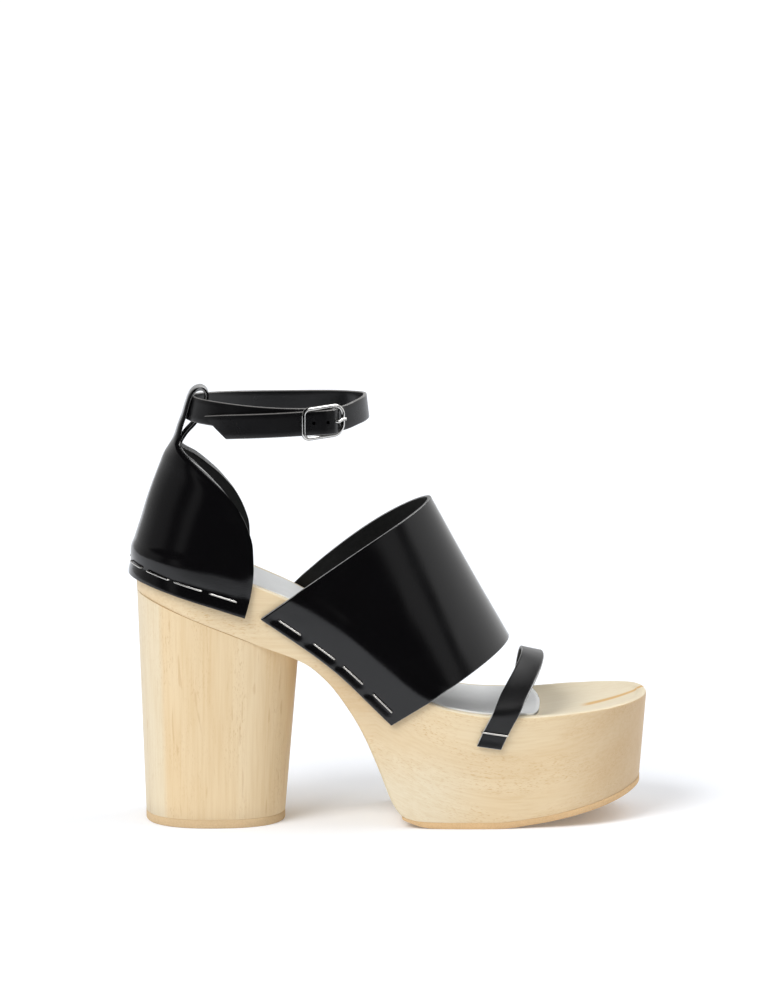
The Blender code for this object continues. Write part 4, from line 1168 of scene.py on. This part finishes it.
def wire(name, path, radius, sides, closed=False):
    """Round wire swept along a path."""
    rings, count, normal = [], len(path), None
    turns = [2 * math.pi * i / sides for i in range(sides)]
    for k, spot in enumerate(path):
        ahead = path[(k + 1) % count] if closed or k + 1 < count else spot
        behind = path[k - 1] if closed or k > 0 else spot
        run = (ahead - behind).normalized()
        if normal is None:
            normal = run.orthogonal().normalized()
        normal = (normal - run * normal.dot(run)).normalized()
        other = run.cross(normal)
        rings.append([tuple(spot + radius * (normal * math.cos(turn) + other * math.sin(turn)))
                      for turn in turns])
    if closed:
        rings.append(rings[0])
    return skin(name, rings, capped=not closed)


def use_up(piece, other, how):
    """Cut another mesh out of a piece, or join it on, for good."""
    change = piece.modifiers.new("worked", 'BOOLEAN')
    change.operation = how
    change.solver = 'EXACT'
    change.object = other
    shape = bpy.data.meshes.new_from_object(piece.evaluated_get(bpy.context.evaluated_depsgraph_get()))
    piece.modifiers.clear()
    piece.data = shape
    bpy.data.objects.remove(other, do_unlink=True)


tip_turn = STRAP.rows[-1][0]
strap_rings = eye_rings() + [strap_ring(turn, tip_turn) for turn in strap_turns(tip_turn)]
edge_marks = [float(STRAP_WIDTH / 2 - abs(high) < EDGE_MARK * STRAP_ROUND)
              for off, high in strap_profile(STRAP_THICK)]
strap = skin("buckled_ankle_strap", strap_rings, tints={"cut_edge": [edge_marks] * len(strap_rings)})
for punch_turn in PUNCH_TURNS:
    punch_spot, punch_out = loop_point(punch_turn)
    punch_middle = punch_spot + punch_out * STRAP.at("lift", punch_turn)
    punch_path = [Vector((*(punch_middle + punch_out * PUNCH_DEPTH * end), STRAP.at("height", punch_turn)))
                  for end in (-0.5, 0.5)]
    use_up(strap, wire("punch", punch_path, PUNCH_RADIUS, 28), 'DIFFERENCE')
strap.data.set_sharp_from_angle(angle=math.radians(48))
strap.data.materials.append(leather_finish("black_strap_hide", 0.24, 0.36))
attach(strap, "root")
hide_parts("ankle_strap")

# Buckle
# A rounded rectangle of polished nickel wire with a centre bar behind it for the strap's eye, and a bent
# wire prong that comes out of the first hole and rests on the front bar.
BUCKLE_ALONG = 85.0
BUCKLE_LENGTH = 21.2
BUCKLE_HEIGHT = 15.4
BUCKLE_WIRE = 0.95
BUCKLE_CORNERS = {1: 4.8, -1: 2.7}
BUCKLE_LIFT = 3.5
BUCKLE_MIDDLE = 188.6
BUCKLE_TILT = 0.085
BAR_RADIUS = 0.75
BAR_SLANT = 1.05
PRONG_RADIUS = 0.75
PRONG_START = 0.2
PRONG_RISE = 0.4
PRONG_HIGH = 0.2
PRONG_REST = 0.1
PRONG_BEND = 1.2
PRONG_BEND_TURN = 78.0
PRONG_BEND_STEPS = 8


def metal_finish(name, colour, fineness, detail, rough, rubbing):
    """Bright metal with a faint cloud and fine rubbing marks."""
    material, tree, shader = start_finish(name, Base_Color=(*colour, 1.0), Metallic=1.0)
    cloud = cloudy(tree, object_spot(tree), fineness, detail)
    roughen(tree, shader, cloud, *rough)
    emboss(tree, shader, (cloud, rubbing, 0.0001))
    return material


def nickel_finish(name):
    return metal_finish(name, (0.6, 0.59, 0.57), 300.0, 4.0, (0.07, 0.16), 0.05)


def buckle_place(fore, lift, high):
    """Point at the buckle: fore along the strap to the toe, lift outwards from the inner turn, high up."""
    spot, out = loop_point(0.0, BUCKLE_ALONG)
    run = Vector((-out.y, out.x))
    place = spot + run * fore + out * lift
    return Vector((place.x, place.y, BUCKLE_MIDDLE + BUCKLE_TILT * fore + high))


def smooth_path(points, steps):
    """Points on a smooth curve through a hand-set path."""
    path = []
    for k in range(len(points) - 1):
        a, b = points[max(k - 1, 0)], points[k]
        c, d = points[k + 1], points[min(k + 2, len(points) - 1)]
        for step in range(steps):
            u = step / steps
            path.append(0.5 * (2 * b + (c - a) * u + (2 * a - 5 * b + 4 * c - d) * u * u
                               + (3 * b - a - 3 * c + d) * u ** 3))
    return path + [points[-1]]


buckle_path = []
for corner_fore, corner_high, start in ((1, 1, 0), (-1, 1, 1), (-1, -1, 2), (1, -1, 3)):
    corner = BUCKLE_CORNERS[corner_fore]
    wide = BUCKLE_LENGTH / 2 - BUCKLE_WIRE - corner
    tall = BUCKLE_HEIGHT / 2 - BUCKLE_WIRE - corner
    for k in range(13):
        corner_turn = math.pi / 2 * (start + k / 12)
        frame_fore = corner_fore * wide + corner * math.cos(corner_turn)
        frame_high = corner_high * tall + corner * math.sin(corner_turn)
        buckle_path.append(buckle_place(frame_fore, BUCKLE_LIFT, frame_high))
buckle = wire("nickel_buckle_frame", buckle_path, BUCKLE_WIRE, 24, True)
bar_fore = (BAR_ALONG - BUCKLE_ALONG) * BAR_SLANT
bar_top = BUCKLE_HEIGHT / 2 - BUCKLE_WIRE
bar_path = [buckle_place(bar_fore, lift, high) for lift, high in (
    (BUCKLE_LIFT, -bar_top), (BAR_LIFT, 1.0 - bar_top), (BAR_LIFT, bar_top - 1.0), (BUCKLE_LIFT, bar_top))]
use_up(buckle, wire("centre_bar", bar_path, BAR_RADIUS, 20), 'UNION')
buckle.data.materials.append(nickel_finish("polished_buckle_nickel"))
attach(buckle, "root")
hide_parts("buckle_frame")

hole_spot, hole_out = loop_point(PUNCH_TURNS[0])
hole_run = Vector((-hole_out.y, hole_out.x))
hole_lift = STRAP.at("lift", PUNCH_TURNS[0])
hole_height = STRAP.at("height", PUNCH_TURNS[0])
prong_points = [Vector((*(hole_spot + hole_out * (hole_lift + PRONG_START)), hole_height))]
for k in range(PRONG_BEND_STEPS):
    bend = math.radians(PRONG_BEND_TURN) * k / (PRONG_BEND_STEPS - 1)
    bend_lift = hole_lift + PRONG_START + PRONG_RISE + PRONG_BEND * math.sin(bend)
    bend_place = hole_spot + hole_out * bend_lift + hole_run * PRONG_BEND * (1 - math.cos(bend))
    prong_points.append(Vector((*bend_place, hole_height)))
rest_lift = BUCKLE_LIFT + BUCKLE_WIRE + PRONG_RADIUS + PRONG_REST
for prong_fore, prong_rise in ((-2.6, 0.6), (-BUCKLE_WIRE, 0.0), (0.0, 0.0)):
    prong_points.append(buckle_place(BUCKLE_LENGTH / 2 + prong_fore, rest_lift + prong_rise, PRONG_HIGH))
prong = wire("nickel_buckle_prong", smooth_path(prong_points, 4), PRONG_RADIUS, 20)
prong.data.materials.append(nickel_finish("polished_prong_nickel"))
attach(prong, "root")
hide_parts("buckle_prong")

# Staples
# Bright wire staples driven through the leather into the wood, four along each side of the counter and of
# the vamp and one across each end of the toe strap.
STAPLE_WIRE = 0.4
STAPLE_SIDES = 14
STAPLE_LEG = 2.6
STAPLE_BEND = 0.7
STAPLE_BEND_STEPS = 5
STAPLE_STAND = 0.8
STAPLE_STEP = 0.3


def staple_tree():
    """Node group that turns bent lines into round wire of a given radius."""
    tree = bpy.data.node_groups.new("bent_staple_wire", 'GeometryNodeTree')
    face = tree.interface
    face.new_socket("Geometry", in_out='INPUT', socket_type='NodeSocketGeometry')
    sizes = {}
    for label, kind in (("Wire Radius", 'Float'), ("Bend Radius", 'Float'), ("Wire Step", 'Float'),
                        ("Wire Sides", 'Int'), ("Wire Finish", 'Material')):
        sizes[label] = face.new_socket(label, in_out='INPUT', socket_type='NodeSocket' + kind).identifier
    face.new_socket("Geometry", in_out='OUTPUT', socket_type='NodeSocketGeometry')
    given = tree.nodes.new("NodeGroupInput").outputs
    line = add_node(tree, "GeometryNodeMeshToCurve", {"Mesh": given["Geometry"]})
    bent = add_node(tree, "GeometryNodeFilletCurve", {
        "Curve": line.outputs["Curve"], "Count": STAPLE_BEND_STEPS,
        "Radius": given["Bend Radius"]}, mode='POLY')
    even = add_node(tree, "GeometryNodeResampleCurve", {
        "Curve": bent.outputs["Curve"], "Length": given["Wire Step"]}, mode='LENGTH')
    section = add_node(tree, "GeometryNodeCurvePrimitiveCircle", {
        "Resolution": given["Wire Sides"], "Radius": given["Wire Radius"]})
    swept = add_node(tree, "GeometryNodeCurveToMesh", {
        "Curve": even.outputs["Curve"], "Profile Curve": section.outputs["Curve"], "Fill Caps": True})
    smooth = add_node(tree, "GeometryNodeSetShadeSmooth", {"Geometry": swept.outputs["Mesh"]})
    real = add_node(tree, "GeometryNodeRealizeInstances", {"Geometry": smooth.outputs["Geometry"]})
    dressed = add_node(tree, "GeometryNodeSetMaterial", {
        "Geometry": real.outputs["Geometry"], "Material": given["Wire Finish"]})
    add_node(tree, "NodeGroupOutput", {"Geometry": dressed.outputs["Geometry"]})
    return tree, sizes


staple_mesh = bpy.data.meshes.new("staple_lines")
staple_points, staple_edges = [], []
for crown in counter_crowns + vamp_crowns + toe_crowns:
    first = len(staple_points)
    line = [spot - out * STAPLE_LEG for spot, out in crown[:1]]
    line += [spot + out * STAPLE_STAND for spot, out in crown]
    line += [spot - out * STAPLE_LEG for spot, out in crown[-1:]]
    staple_points += [placed(point) for point in line]
    staple_edges += [(first + k, first + k + 1) for k in range(len(line) - 1)]
staple_mesh.from_pydata(staple_points, staple_edges, [])
staples = bpy.data.objects.new("bright_wire_staples", staple_mesh)
bpy.context.scene.collection.objects.link(staples)
staple_nodes, staple_sizes = staple_tree()
bender = staples.modifiers.new("bent wire", 'NODES')
bender.node_group = staple_nodes
staple_finish = metal_finish("bright_staple_wire", (0.68, 0.66, 0.63), 500.0, 3.0, (0.36, 0.44), 0.03)
for label, value in (("Wire Radius", STAPLE_WIRE * MM), ("Bend Radius", STAPLE_BEND * MM),
                     ("Wire Step", STAPLE_STEP * MM), ("Wire Sides", STAPLE_SIDES),
                     ("Wire Finish", staple_finish)):
    bender[staple_sizes[label]] = value
bent_wire = bpy.data.meshes.new_from_object(staples.evaluated_get(bpy.context.evaluated_depsgraph_get()))
staples.modifiers.clear()
staples.data = bent_wire
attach(staples, "root")
staple_names = [f"staple_{row}_{side}_{number}" for row in ("counter", "vamp")
                for side in ("lateral", "medial") for number in (1, 2, 3, 4)]
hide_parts(*staple_names, "staple_toe_lateral", "staple_toe_medial")

# Studio
# A wide white floor in soft even light, with a key from the left and a fill from the toe. For reflections
# alone it is dark in front, with pale panels to the right, dim ones to the left, a bright one overhead on
# the right, and a black card on the floor in front.
CAMERA_TARGET = (116.36, 0.0, 0.0)
CAMERA_DISTANCE = 3200.0
CAMERA_HEIGHT = 645.0
CAMERA_TURN = -2.5
CAMERA_TILT = 8.83
CAMERA_LENS = 252.0
DOME_STOPS = ((0.0, grey(0.25)), (0.3, grey(0.34)), (1.0, grey(0.76)))
PANEL_TURNS = ((-180, 0.9), (-130, 0.45), (-100, 0.22), (-76, 0.18), (-64, 0.0), (-54, 0.03), (-48, 0.2),
               (-42, 0.2), (-35, 0.0), (20, 0.0), (24, 0.36), (40, 0.36), (45, 0.06), (53, 0.1), (60, 0.8),
               (100, 1.1), (140, 1.3), (180, 1.0))
PANEL_TOP = (0.58, 0.48)
OVERHEAD_STOPS = ((0.0, grey(0.0)), (0.5, grey(0.0)), (0.65, grey(0.7)), (0.74, grey(3.2)),
                  (0.83, grey(9.0)), (1.0, grey(10.0)))
OVERHEAD_RIGHT = (0.14, 0.42)
KEY_STRENGTH = 1.8
KEY_ANGLE = 32.0
KEY_FROM = (-0.48, -0.55, 0.68)
FILL_STRENGTH = 0.75
FILL_ANGLE = 50.0
FILL_FROM = (0.65, 0.1, 0.75)
FLOOR_REACH = 30.0
FLOOR_GLOW = 0.1
CARD_FROM = -0.4
CARD_BLACK = -0.8
CARD_RISE = 0.002
PAPER_WHITE = (0.90, 0.925, 0.97, 1.0)
BLACK = (0.0, 0.0, 0.0, 1.0)

scene = bpy.context.scene
scene.view_settings.view_transform = 'Standard'
turn = math.radians(CAMERA_TURN)
lens = bpy.data.cameras.new("studio_camera")
lens.sensor_fit = 'VERTICAL'
lens.sensor_height = 36.0
lens.lens = CAMERA_LENS
lens.clip_end = 100.0
camera = bpy.data.objects.new("studio_camera", lens)
camera.location = placed(CAMERA_TARGET) + MM * Vector((CAMERA_DISTANCE * math.sin(turn),
                                                       -CAMERA_DISTANCE * math.cos(turn), CAMERA_HEIGHT))
camera.rotation_euler = (math.radians(90.0 - CAMERA_TILT), 0.0, turn)
scene.collection.objects.link(camera)
scene.camera = camera

world = bpy.data.worlds.new("studio_sky")
world.use_nodes = True
scene.world = world
sky = world.node_tree
direction = add_node(sky, "ShaderNodeTexCoord").outputs["Generated"]
parts = split(sky, direction)
around = calc(sky, 'ARCTAN2', parts["X"], product(sky, parts["Y"], -1.0))
around = add_node(sky, "ShaderNodeMapRange", {"Value": around, "From Min": -math.pi, "From Max": math.pi})
panels = ramp(sky, around.outputs["Result"],
              [((turned + 180) / 360, grey(value)) for turned, value in PANEL_TURNS])
panels = blend(sky, fade(sky, parts["Z"], *PANEL_TOP), BLACK, panels)
overhead = ramp(sky, parts["Z"], OVERHEAD_STOPS)
overhead = blend(sky, fade(sky, parts["X"], *OVERHEAD_RIGHT), BLACK, overhead)
mirrored = blend(sky, 1.0, panels, overhead, 'ADD')
dome = sky.nodes["Background"]
sky.links.new(ramp(sky, parts["Z"], DOME_STOPS), dome.inputs["Color"])
reflected = add_node(sky, "ShaderNodeBackground", {"Color": mirrored})
glossy = add_node(sky, "ShaderNodeLightPath").outputs["Is Glossy Ray"]
both = add_node(sky, "ShaderNodeMixShader", {0: glossy, 1: dome.outputs["Background"],
                                             2: reflected.outputs["Background"]})
sky.links.new(both.outputs["Shader"], sky.nodes["World Output"].inputs["Surface"])

for lamp_name, lamp_strength, lamp_angle, lamp_from in (("soft_key", KEY_STRENGTH, KEY_ANGLE, KEY_FROM),
                                                        ("toe_fill", FILL_STRENGTH, FILL_ANGLE, FILL_FROM)):
    light = bpy.data.lights.new(lamp_name, 'SUN')
    light.energy = lamp_strength
    light.angle = math.radians(lamp_angle)
    lamp = bpy.data.objects.new(lamp_name, light)
    lamp.rotation_euler = Vector(lamp_from).to_track_quat('Z', 'Y').to_euler()
    lamp.visible_glossy = False
    scene.collection.objects.link(lamp)


def flat_sheet(name, front, back, height, finish):
    """Wide level sheet of the studio, from one Y to another."""
    mesh = bpy.data.meshes.new(name)
    corners = ((-FLOOR_REACH, front), (FLOOR_REACH, front), (FLOOR_REACH, back), (-FLOOR_REACH, back))
    mesh.from_pydata([(x, y, height) for x, y in corners], [], [(0, 1, 2, 3)])
    mesh.materials.append(finish)
    sheet = bpy.data.objects.new(name, mesh)
    scene.collection.objects.link(sheet)
    return sheet


paper = start_finish("white_paper", Base_Color=PAPER_WHITE, Roughness=0.9, Specular_IOR_Level=0.0,
                     Emission_Color=(1.0, 1.0, 1.0, 1.0), Emission_Strength=FLOOR_GLOW)
flat_sheet("studio_floor", -FLOOR_REACH, FLOOR_REACH, 0.0, paper[0])
black, black_tree, black_shader = start_finish("black_card", Base_Color=BLACK, Roughness=1.0,
                                               Specular_IOR_Level=0.0)
black_y = split(black_tree, object_spot(black_tree))["Y"]
black_tree.links.new(fade(black_tree, black_y, CARD_FROM, CARD_BLACK), black_shader.inputs["Alpha"])
card = flat_sheet("black_card", -FLOOR_REACH, CARD_FROM, CARD_RISE, black)
card.visible_camera = False
card.visible_diffuse = False
card.visible_shadow = False
card.visible_transmission = False
